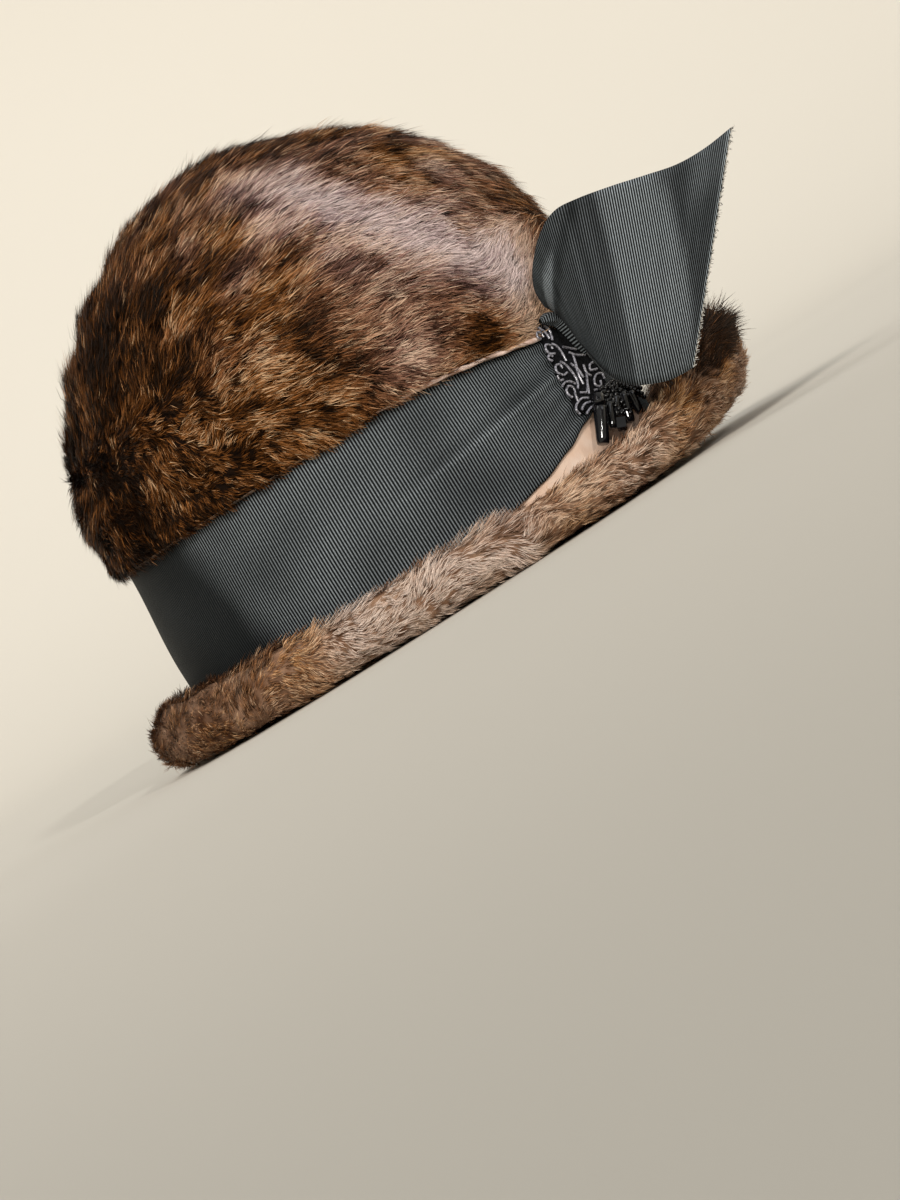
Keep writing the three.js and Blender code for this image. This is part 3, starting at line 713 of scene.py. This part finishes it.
def woven_grid(columns, rows, place, gloss, width, length, merge):
    """A grid whose points go where place(s, t) says, with a map in metres along and across it. The
    gloss(s, t) of each point is its painted sheen: how bright the painted highlights on its ribs are."""
    bm = bmesh.new()
    bmesh.ops.create_grid(bm, x_segments=columns, y_segments=rows, size=0.5)
    painted_sheen = bm.verts.layers.float.new("gloss")
    for v in bm.verts:
        v[painted_sheen] = gloss(v.co.x + 0.5, v.co.y + 0.5)
    weave = bm.loops.layers.uv.new("weave")
    for face in bm.faces:
        for loop in face.loops:
            s, t = loop.vert.co.x + 0.5, loop.vert.co.y + 0.5
            loop[weave].uv = length(s, t) if callable(length) else (s * length, t * width)
    for v in bm.verts:
        v.co = place(v.co.x + 0.5, v.co.y + 0.5)
    bmesh.ops.remove_doubles(bm, verts=bm.verts[:], dist=merge)
    return bm


def cloth(name, *grid):
    """A woven grid with the thickness of ribbon."""
    made = link_mesh(name, woven_grid(*grid, merge=2e-5))
    wall = made.modifiers.new("thickness", "SOLIDIFY")
    wall.thickness = CLOTH_THICKNESS * MM
    wall.offset = 0
    return made


# %% The ribbon on the band
def on_fold(turn, up, above, below):
    """How near a place is to the fold that runs back from the ornament."""
    along = (turn - 40) / 54
    if not 0 <= along <= 1:
        return 0.0
    offset = up - (54.4 - 10.5 * along)
    return (1 - along ** 2) * math.exp(-(offset / (above if offset > 0 else below)) ** 2)


def ribbon_relief(turn, up):
    """How far the ribbon stands off where it is gathered, and along the fold behind the ornament."""
    away = away_from(turn, KNOT_TURN)
    near = math.exp(-((away / 9) ** 2))
    wider = math.exp(-((away / 20) ** 2))
    top, bottom = selvedges(turn)
    level = (up - bottom) / (top - bottom)
    pleats = near * (0.5 + 0.5 * math.cos(2 * math.pi * up / 11)) + 0.45 * wider * math.sin(level * 34)
    return pleats + 1.1 * (1 - near) * on_fold(turn, up, 1.6, 5.0)


def ribbon_place(s, t):
    """The turn and the level of a place on the ribbon. Its ends meet across from the ornament."""
    turn = (KNOT_TURN + 180 - 360 * s) % 360
    top, bottom = selvedges(turn)
    return turn, bottom + (top - bottom) * t


def on_ribbon(s, t):
    turn, up = ribbon_place(s, t)
    return on_band(turn, RIBBON_OUT + max(0.0, ribbon_relief(turn, up)), up)


def ribbon_painted_sheen(s, t):
    """Painted sheen: the ribs are painted bright at the side, hardly at the back, with a painted
    highlight along the fold and painted shade just above it.
    """
    turn, up = ribbon_place(s, t)
    point = on_ribbon(s, t)
    edge = 0.076 + 0.00022 * (up - 26) + 0.004 * noise.noise(point * 60)
    side = 1 - 0.9 * float(smoothstep(point.y, edge, edge + 0.014))
    broad = 0.54 + 0.1 * float(smoothstep(turn, 60, 95))
    broad += 0.32 * noise.noise(Vector((turn / 14, up / 22, 0)))
    broad -= 0.12 * math.exp(-((point.y - edge) / 0.012) ** 2)
    fold = 0.4 * on_fold(turn, up, 0.6, 0.9) - 0.28 * on_fold(turn, up - 3.0, 3.0, 2.2)
    return max(0.0, side * (broad + fold))


RIBBON_WIDTH, RIBBON_LENGTH, RIBBON_OUT = 0.067, 0.6, 0.75
ribbon = cloth("ribbon", 320, 48, on_ribbon, ribbon_painted_sheen, RIBBON_WIDTH, RIBBON_LENGTH)
print("ribbon", len(ribbon.data.polygons), "faces")

# %% The felt's cut edge above the ribbon
def tube(name, route, radius):
    """A round cord along points, made as a curve with a round bevel and turned into a mesh."""
    curve = bpy.data.curves.new(name, "CURVE")
    curve.dimensions = "3D"
    curve.bevel_depth = radius
    curve.bevel_resolution = 1
    curve.use_fill_caps = True
    line = curve.splines.new("POLY")
    line.points.add(len(route) - 1)
    for point, place in zip(line.points, route):
        point.co = (*place, 1)
    drawn = put_in_scene(name, curve)
    mesh = bpy.data.meshes.new_from_object(drawn.evaluated_get(bpy.context.evaluated_depsgraph_get()))
    bpy.data.objects.remove(drawn)
    mesh.name = name
    mesh.shade_smooth()
    return put_in_scene(name, mesh)


FELT_EDGE = 1.0
edge_route = []
for turn in np.arange(36, 84, 1.0):
    top, bottom = selvedges(turn)
    out = 4.0 + 0.25 * math.sin(turn * 0.9)
    out -= 2.5 * float(smoothstep(turn, 74, 84)) + 2.0 * float(1 - smoothstep(turn, 36, 46))
    edge_route.append(on_band(turn, out, top + 0.9 + 0.25 * math.sin(turn * 0.7)))
felt_edge = tube("felt_edge", edge_route, FELT_EDGE * MM)
# A cut edge of felt is pale and fuzzy, because the knife opens fibres that the dye hardly reached.
finish_with(felt_material("cut_felt_edge", [(0.3, "#c09a86"), (0.6, "#f2d8ca")], 3, 0.2), felt_edge)

# %% [markdown]
# The tail of the bow is the same ribbon, cut on the slant. It opens like a fan from the wrap, so its
# two selvedges are smooth lines and every rib runs from one to the other. A cloth simulation would let
# it fall over, while two drawn lines keep the bend that the stiffened ribbon really holds.

# %% The bow's tail
TAIL_LINES = [
    ((90.8, 58.7, 78), (94.6, 56, 73)), ((91, 62, 86), (94.6, 59.5, 66.5)),
    ((95.6, 66, 94.2), (94.6, 63, 60)), ((103.4, 69, 101.8), (95.3, 66.5, 53.8)),
    ((111.6, 73, 105.6), (96, 71.5, 47)), ((120.4, 77, 104.8), (97.8, 77, 41)),
    ((132.6, 87, 101.5), (101.3, 82, 36)), ((144, 98, 97.7), (106.5, 87, 33)),
    ((154.2, 110, 94.4), (111.9, 91.3, 30.8)), ((163.9, 123, 93.4), (117.3, 95.6, 30)),
    ((173.2, 137, 94), (121.7, 100, 30)),
]


def through(points, share):
    """A smooth line through evenly spaced points."""
    steps = len(points) - 1
    first = min(int(share * steps), steps - 1)
    t = share * steps - first
    a, b, c, d = (Vector(points[min(max(first + k, 0), steps)]) for k in (-1, 0, 1, 2))
    place = 2 * b + (c - a) * t
    place += (2 * a - 5 * b + 4 * c - d) * t * t
    place += (3 * b - a - 3 * c + d) * t ** 3
    return 0.5 * place


TAIL_WIDTH, TAIL_LENGTH = 0.068, 0.125
UPPER_EDGE, LOWER_EDGE = ([hat(*pair[side]) for pair in TAIL_LINES] for side in (0, 1))
STATIONS = np.linspace(0, 1, 81)


def run_along(edge):
    """How far along a selvedge each station lies, in metres."""
    places = [through(edge, share) for share in STATIONS]
    return np.cumsum([0] + [(b - a).length for a, b in zip(places, places[1:])])


upper_run, lower_run = run_along(UPPER_EDGE), run_along(LOWER_EDGE)


def on_tail(s, t):
    return through(LOWER_EDGE, s).lerp(through(UPPER_EDGE, s), t)


def tail_map(s, t):
    along = np.interp(s, STATIONS, upper_run - 0.045) * t
    along += np.interp(s, STATIONS, lower_run - 0.033) * (1 - t)
    return along, t * TAIL_WIDTH


def tail_painted_sheen(s, t):
    """Painted sheen: bands of painted highlight that run with the ribs where the tail bends towards the
    light, a painted highlight on a facet by the crease with painted shade beside it, darker ribs towards
    the low end, and lighter ones at the upper corner and the cut end.
    """
    left, right = 0.54 + 0.07 * (1 - t), 0.74 + 0.25 * (1 - t)
    bright = smoothstep(s, left, left + 0.03) * (1 - smoothstep(s, right - 0.03, right + 0.03))
    crease = 0.56 * t - 0.12
    facet = smoothstep(s, crease - 0.15, crease - 0.1)
    facet *= 1 - smoothstep(s, crease - 0.02, crease + 0.015)
    facet *= smoothstep(t, 0.15, 0.3) * (1 - smoothstep(t, 0.74, 0.86))
    beside = math.exp(-((s - crease - 0.06) / 0.04) ** 2)
    streaks = 0.16 * noise.noise(Vector((s * 26, t * 1.5, 3)))
    low_end = 0.48 + 0.52 * smoothstep(t, 0.02, 0.32)
    corner = smoothstep(s, 0.8, 0.9) * smoothstep(t, 0.7, 0.9)
    painted_sheen = 0.31 + 0.72 * bright * low_end + 0.85 * facet + 0.3 * corner - 0.15 * beside + streaks
    return max(0.0, float(painted_sheen + (0.8 if s > 0.985 else 0)))


tail = cloth("bow_tail_cloth", 80, 24, on_tail, tail_painted_sheen, TAIL_WIDTH, tail_map)
print("tail selvedges in mm:", round(upper_run[-1] * 1000), round(lower_run[-1] * 1000))

# %% [markdown]
# The end of the tail is only cut, so its weft threads work loose: a fringe of short pale ends. Each
# one is a thin cone that leans its own way, since a drawn fringe would look flat from the side.

# %% The frayed end
def aimed(place, direction):
    """The matrix that moves a shape to a place and turns its upright axis along a direction."""
    return Matrix.Translation(place) @ direction.to_track_quat("Z", "Y").to_matrix().to_4x4()


THREADS = 150
bm = bmesh.new()
for number in range(THREADS):
    t = (number + rng.uniform(-0.4, 0.4)) / (THREADS - 1)
    t = min(max(t, 0.004), 0.996)
    outward = (on_tail(1.0, t) - on_tail(0.97, t)).normalized()
    up_edge = (on_tail(1.0, min(t + 0.02, 1)) - on_tail(1.0, max(t - 0.02, 0))).normalized()
    heading = (outward + up_edge * rng.normal(0, 0.5) + Vector(rng.normal(0, 0.25, 3))).normalized()
    reach = rng.uniform(0.8, 2.0 + 2.2 * max(0, t - 0.85) / 0.15) * MM
    bmesh.ops.create_cone(bm, cap_ends=True, segments=5, radius1=0.24 * MM, radius2=0.14 * MM,
                          depth=reach, matrix=aimed(on_tail(1.0, t) + heading * reach * 0.4, heading))
fringe = link_mesh("frayed_ends", bm)
print("frayed threads:", len(fringe.data.polygons), "faces")

# %% [markdown]
# Seen close, grosgrain is a row of cords with light catching each one. Modelled cords would take a
# million faces, so a wave across the cloth's own map draws them, with a painted highlight on each crest.
# Each cloth also carries a gloss, a painted sheen that says how bright those highlights are at each
# place.

# %% Grosgrain
# Woven viscose over cotton cords: matt black in the grooves, with a painted grey highlight on each
# rib's crest, as bright as the cloth's painted sheen says.
# Real ribs are 0.8 to 1 mm apart, and these are drawn a little coarser so that they show.
RIB = 1.15
grosgrain_cloth, tree, shader = new_material("woven_black_grosgrain", {
    "Roughness": 0.6, "Specular IOR Level": 0.12})
weave = add(tree, "ShaderNodeUVMap", uv_map="weave").outputs["UV"]
# A wave texture of scale 1 repeats every pi / 10 metres.
wave = add(tree, "ShaderNodeTexWave", {"Vector": weave, "Scale": math.pi / 10 / (RIB * MM),
                                       "Distortion": 0.25, "Detail": 1.0, "Detail Scale": 3.0},
           wave_type="BANDS", bands_direction="X", wave_profile="SIN")
ribs = wave.outputs[1]
twists = add(tree, "ShaderNodeTexNoise", {"Vector": weave, "Scale": 1000 / 0.8, "Detail": 2.0})
painted_sheen = add(tree, "ShaderNodeAttribute", attribute_name="gloss").outputs["Fac"]
tops = add(tree, "ShaderNodeMapRange", {"Value": ribs, "From Min": 0.45, "From Max": 0.95})
crest_unevenness = add(tree, "ShaderNodeMapRange", {"Value": twists.outputs[0], "From Min": 0.25,
                                          "From Max": 0.75, "To Min": 0.55, "To Max": 1.0})
share = add(tree, "ShaderNodeMath", {0: tops.outputs[0], 1: crest_unevenness.outputs[0]}, operation="MULTIPLY")
share = add(tree, "ShaderNodeMath", {0: share.outputs[0], 1: painted_sheen}, operation="MULTIPLY",
            use_clamp=True)
painted_rib_highlight = add(tree, "ShaderNodeMix", {0: share.outputs[0], 6: linear("#05090a"), 7: linear("#a9b3b9")},
          data_type="RGBA")
wear(tree, shader, painted_rib_highlight.outputs[2], height=ribs, depth=0.15 * MM)
finish_with(grosgrain_cloth, ribbon, tail)
# Loose weft threads have lost their dye's depth and look grey.
thread = clouded("frayed_weft_thread", 1.5, [(0.35, "#5c5c5a"), (0.6, "#d2cec4")],
                 {"Roughness": 0.8}, 0.05 * MM)[0]
finish_with(thread, fringe)
print("ribs", RIB, "mm apart on", ribbon.name, "and", tail.name)

# %% [markdown]
# ## The ornament
# It is a small stiff pad, covered with scrolls of shiny cord. The pad is an outline pushed out to a
# thickness, and each cord is a curve with a round section. They are measured in a frame of their
# own: x towards the front along the band, y up and z away from the hat.

# %% The ornament's frame
knot_origin = on_band(KNOT_TURN, 0, 56)
outwards = (on_band(KNOT_TURN, 1, 56) - knot_origin).normalized()
frontwards = Vector((0, 0, 1)).cross(outwards).normalized()
leaned = Matrix.Rotation(math.radians(-4.7), 3, frontwards) @ outwards
knot_axes = Matrix((frontwards, leaned.cross(frontwards), leaned)).transposed()


def on_knot(x, y, z):
    return knot_origin + knot_axes @ (Vector((x, y, z)) * MM)


PAD_LEVEL, PAD_DEPTH = 2.7, 1.6
PAD_OUTLINE = [(-2.6, 17), (4, 18), (8.3, 12.5), (9.4, 4), (10.6, -3), (11.8, -10), (8.5, -17), (0, -20),
               (-7.8, -19.2), (-11.6, -18.6), (-13, -16.6), (-11.4, -13), (-11.6, -9.6), (-9.4, -5.8),
               (-9.6, -1.2), (-7.4, 2.6), (-7.3, 6.4), (-5.4, 9.8), (-5.4, 13.6), (-4.2, 16.2)]
bm = bmesh.new()
bm.faces.new([bm.verts.new(on_knot(x, y, PAD_LEVEL)) for x, y in PAD_OUTLINE])
bmesh.ops.subdivide_edges(bm, edges=bm.edges[:], cuts=3, smooth=0.6, use_smooth_even=True)
extruded = bmesh.ops.extrude_face_region(bm, geom=bm.faces[:])
top = [g for g in extruded["geom"] if isinstance(g, bmesh.types.BMVert)]
bmesh.ops.translate(bm, verts=top, vec=knot_axes @ Vector((0, 0, PAD_DEPTH * MM)))
bmesh.ops.recalc_face_normals(bm, faces=bm.faces[:])
pad = link_mesh("ornament_pad", bm)
pad.data.shade_flat()

SCROLLS = [
    [(-5.2, 5), (-7.4, 5.9), (-8.1, 7.9), (-6.6, 9.5), (-4.6, 8.6), (-4.6, 6.9)],
    [(-3.4, 8.9), (-1.8, 7), (-1.6, 3.6), (-2.3, 0.4)],
    [(-5.9, -3.4), (-8.4, -3.5), (-10.5, -1.3), (-9, 0.9), (-6.6, 0.6), (-6.6, -1.2)],
    [(-5.4, 1.4), (-3.8, -0.9), (-3.4, -5.3), (-4.3, -8.7), (-6.4, -10.7)],
    [(-11.8, -12.3), (-12.8, -10.8), (-12.2, -8.9), (-9.9, -8), (-8.2, -9.6), (-9.6, -12.4),
     (-10.5, -14.8)],
    [(-14, -19.2), (-14.2, -16.8), (-11.4, -15.1), (-7.4, -14.6), (-4.4, -15.8)],
    [(-11.4, -18), (-8.4, -16.9), (-5, -17.3)], [(-0.9, 15.8), (0.2, 14), (-0.6, 11.4), (-1.9, 9.8)],
    [(0.8, 5.6), (6.4, 2.2)], [(3, 1), (1.2, -2.6), (-1, -6.2), (-2.2, -10.4)],
    [(3.2, -7.4), (0.6, -10.4), (-2.8, -14.6)], [(2, 2.6), (4.6, 0.4), (8.6, -1.4)],
    [(9.8, -5.2), (7.4, -5.6), (6.4, -7.4), (9.8, -8.2)],
    [(9.9, -12.9), (10.6, -10.8), (7.8, -9.9), (4.4, -11.3), (3.6, -13.4), (5.8, -14.4), (7.4, -12.7)],
    [(1.2, -14.4), (3.6, -15.4), (6.4, -17), (4.2, -17.8)],
    [(-6.8, 12.4), (-7.6, 13.8), (-6.2, 15.2), (-4.6, 14.2), (-4.9, 12.4)],
    [(-4.2, 16.6), (-2.4, 13.4), (-2.6, 10.8)], [(-8.8, 3.2), (-9.9, 4.4), (-8.6, 5.6), (-7.2, 4.6)],
    [(-12.8, -6.8), (-10.4, -6.2), (-7.6, -6.8), (-5.8, -8.6)],
    [(-10.2, -4.9), (-12, -4.4), (-11.6, -2.6)], [(-1.2, -1.2), (0.4, -4.6), (0.2, -8.2)],
    [(4.6, -4.2), (3.4, -7.2), (4.4, -9.2)], [(-6.4, -12.4), (-3.2, -13.6), (-1.4, -12.2)],
    [(-10.4, -20.2), (-6, -19.2), (-2.6, -19.6)],
]
CORD_RADIUS, CORD_LEVEL = 0.5, 4.6
cords = []
for number, points in enumerate(SCROLLS):
    corners = [on_knot(x, y, CORD_LEVEL) for x, y in points]
    steps = 8 * (len(points) - 1)
    route = [through(corners, i / steps) for i in range(steps + 1)]
    cords.append(tube(f"scroll_cord_{number + 1}", route, CORD_RADIUS * MM))
bm = bmesh.new()
for cord in cords:
    bm.from_mesh(cord.data)
    bpy.data.objects.remove(cord)
scrolls = link_mesh("scroll_cords", bm)
print("ornament:", len(SCROLLS), "scrolls")

# %% The wrap
WRAP_ROUTE = [(-4.6, 17.9, 7.4, 0.9), (-1, 17.2, 8.2, 2.3), (2.6, 15, 8.5, 2.6), (4.2, 10, 8.3, 2.2),
              (5.4, 4, 7.9, 1.9), (6.9, -1.2, 7.3, 1.1)]
WRAP_MIDDLES = [Vector(row[:3]) for row in WRAP_ROUTE]
WRAP_RADII = [Vector((row[3], 0, 0)) for row in WRAP_ROUTE]
# The wrap's ribs carry an even painted sheen.
WRAP_FOLDS, WRAP_PAINTED_SHEEN = 5, 0.55


def on_wrap(s, t):
    """A point on a gathered tube: s runs along it, and t once round it."""
    ahead = through(WRAP_MIDDLES, min(s + 0.01, 1))
    behind = through(WRAP_MIDDLES, max(s - 0.01, 0))
    along = (ahead - behind).normalized()
    side = Vector((0, 0, 1)).cross(along).normalized()
    angle = 2 * math.pi * t
    radius = through(WRAP_RADII, s).x
    fold = 1 + 0.1 * math.cos(angle * WRAP_FOLDS + 2 * s)
    arm = (side * math.cos(angle) + along.cross(side) * math.sin(angle)) * radius * fold
    return on_knot(*(through(WRAP_MIDDLES, s) + arm))


bm = woven_grid(32, 40, on_wrap, lambda s, t: WRAP_PAINTED_SHEEN, width=0.014, length=0.026, merge=1e-6)
bmesh.ops.holes_fill(bm, edges=[e for e in bm.edges if e.is_boundary], sides=0)
bmesh.ops.recalc_face_normals(bm, faces=bm.faces[:])
wrap = link_mesh("wrap", bm)
finish_with(grosgrain_cloth, wrap)
print("wrap:", len(wrap.data.polygons), "faces")

# %% Jet beads
# Each bead's name, sides, radius, radius at its ends, and the two places between which it hangs.
BEAD_BEVEL = 0.12
BEADS = [
    ("jet_cap", 10, 2.5, 1.4, (-2.6, -16.9, 7.4), (-6, -20.4, 8.2)),
    ("jet_drop_1", 12, 2.6, 2.3, (-6.5, -21, 8.3), (-13.9, -33.2, 5.2)),
    ("jet_drop_2", 10, 2, 1.5, (1.9, -21.2, 5.9), (-3.6, -30.4, 4.6)),
    ("jet_drop_3", 10, 2, 1.5, (7.2, -20.4, 5.9), (2.2, -27.6, 5)),
    ("jet_drop_4", 10, 2.1, 1.6, (11.6, -20.8, 5.9), (7, -32, 4.9)),
    ("jet_drop_5", 10, 1.7, 1.3, (13.4, -31.5, 6.3), (14.4, -22.2, 7.3)),
    ("jet_lozenge", 4, 2.6, 0.7, (2, -28.4, 6.8), (-1.2, -33.2, 6)),
]
beads = []
for name, sides, radius, end, start, finish in BEADS:
    start, finish = on_knot(*start), on_knot(*finish)
    length = (finish - start).length
    shape = [(0, -0.5), (end, -0.5), (radius, -0.36), (radius, 0.36), (end, 0.5), (0, 0.5)]
    bm = lathe([(out * MM, level * length) for out, level in shape], sides)
    bmesh.ops.bevel(bm, geom=bm.edges[:], offset=BEAD_BEVEL * MM, segments=1, profile=0.5,
                    affect="EDGES", material=-1)
    bmesh.ops.transform(bm, matrix=aimed((start + finish) / 2, start - finish), verts=bm.verts[:])
    made = link_mesh(name + "_bead", bm)
    if sides == 4:
        made.data.shade_flat()
    beads.append(made)

# Strings of seed beads hang between the drops and fan out from the pad's lower edge under the bow.
SEED_STRINGS, SEED_PITCH = 20, 1.75
bm = bmesh.new()
for string in range(SEED_STRINGS):
    share = string / (SEED_STRINGS - 1)
    top = Vector((1.5 + 11.5 * share, -16.2 + rng.uniform(-1, 1), 5.2 + rng.uniform(0, 1.6)))
    fall = Vector((rng.uniform(-0.6, 0.1) + 1.9 * share ** 2, -1, rng.uniform(-0.25, 0.15))).normalized()
    for number in range(int(rng.integers(4, 7)) + round(4 * share)):
        radius = rng.uniform(0.75, 1.05) * MM
        centre = on_knot(*(top + fall * SEED_PITCH * number))
        bmesh.ops.create_uvsphere(bm, u_segments=10, v_segments=6, radius=radius,
                                  matrix=Matrix.Translation(centre))
seeds = link_mesh("seed_beads", bm)
print(len(beads), "beads and", len(seeds.data.polygons) // 60, "seed beads")

# %% [markdown]
# Silk cord and jet are both black, and differ in how they shine: cord in thin broken lines, which are
# painted into its colour as grey highlights, and jet, which is cut and polished like glass, in hard
# white facets.

# %% Cord and jet
cord_shine = {"Roughness": 0.28, "Specular IOR Level": 1.0, "Coat Weight": 1.0, "Coat Roughness": 0.2}
# The cord's colour runs in small clouds from near black to light grey: the grey is painted highlight.
cord_painted_highlights = clouded("twisted_silk_cord", 0.8, [(0.36, "#26262c"), (0.6, "#a2a2ae")], cord_shine, 0.1 * MM)[0]
finish_with(cord_painted_highlights, scrolls)

# The pad is buckram under black net: it swallows light, so that only the cord shows.
net_dull = {"Roughness": 0.9, "Specular IOR Level": 0.1}
buckram, tree, shader = new_material("black_net_on_buckram", net_dull)
place = add(tree, "ShaderNodeTexCoord").outputs["Object"]
net = add(tree, "ShaderNodeTexVoronoi", {"Vector": place, "Scale": 1000 / 0.9})
tint = add(tree, "ShaderNodeValToRGB", {"Fac": net.outputs["Distance"]},
           stops=[(0.2, "#040405"), (0.8, "#16171a")])
wear(tree, shader, tint.outputs["Color"], height=net.outputs["Distance"], depth=0.2 * MM)
finish_with(buckram, pad)

# Cut and polished jet is nearly pure black, with a gloss that varies a little as the polish does.
jet, tree, shader, cloud = clouded("cut_jet", 3.0, [(0.3, "#050506"), (0.7, "#101014")], {"IOR": 1.6})
polish = add(tree, "ShaderNodeMapRange", {"Value": cloud.outputs[0], "To Min": 0.04, "To Max": 0.11})
wear(tree, shader, roughness=polish.outputs["Result"])
finish_with(jet, *beads, seeds)
print("finishes:", cord_painted_highlights.name, buckram.name, jet.name)

# %% [markdown]
# Every new piece is tied to the hat's one body, and the solids that they replace are hidden.

# %% Finish
made = [crown_felt, *crown_naps, brim_felt, *brim_naps, ribbon, felt_edge, tail, fringe, pad, scrolls,
        wrap, *beads, seeds]
for piece in made:
    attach(piece, "root")
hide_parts("crown")
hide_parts("brim")
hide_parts("ribbon_band")
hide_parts("bow_tail")
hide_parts("ornament")
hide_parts("bow_knot")
for bead in beads:
    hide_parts(bead.name.replace("_bead", ""))
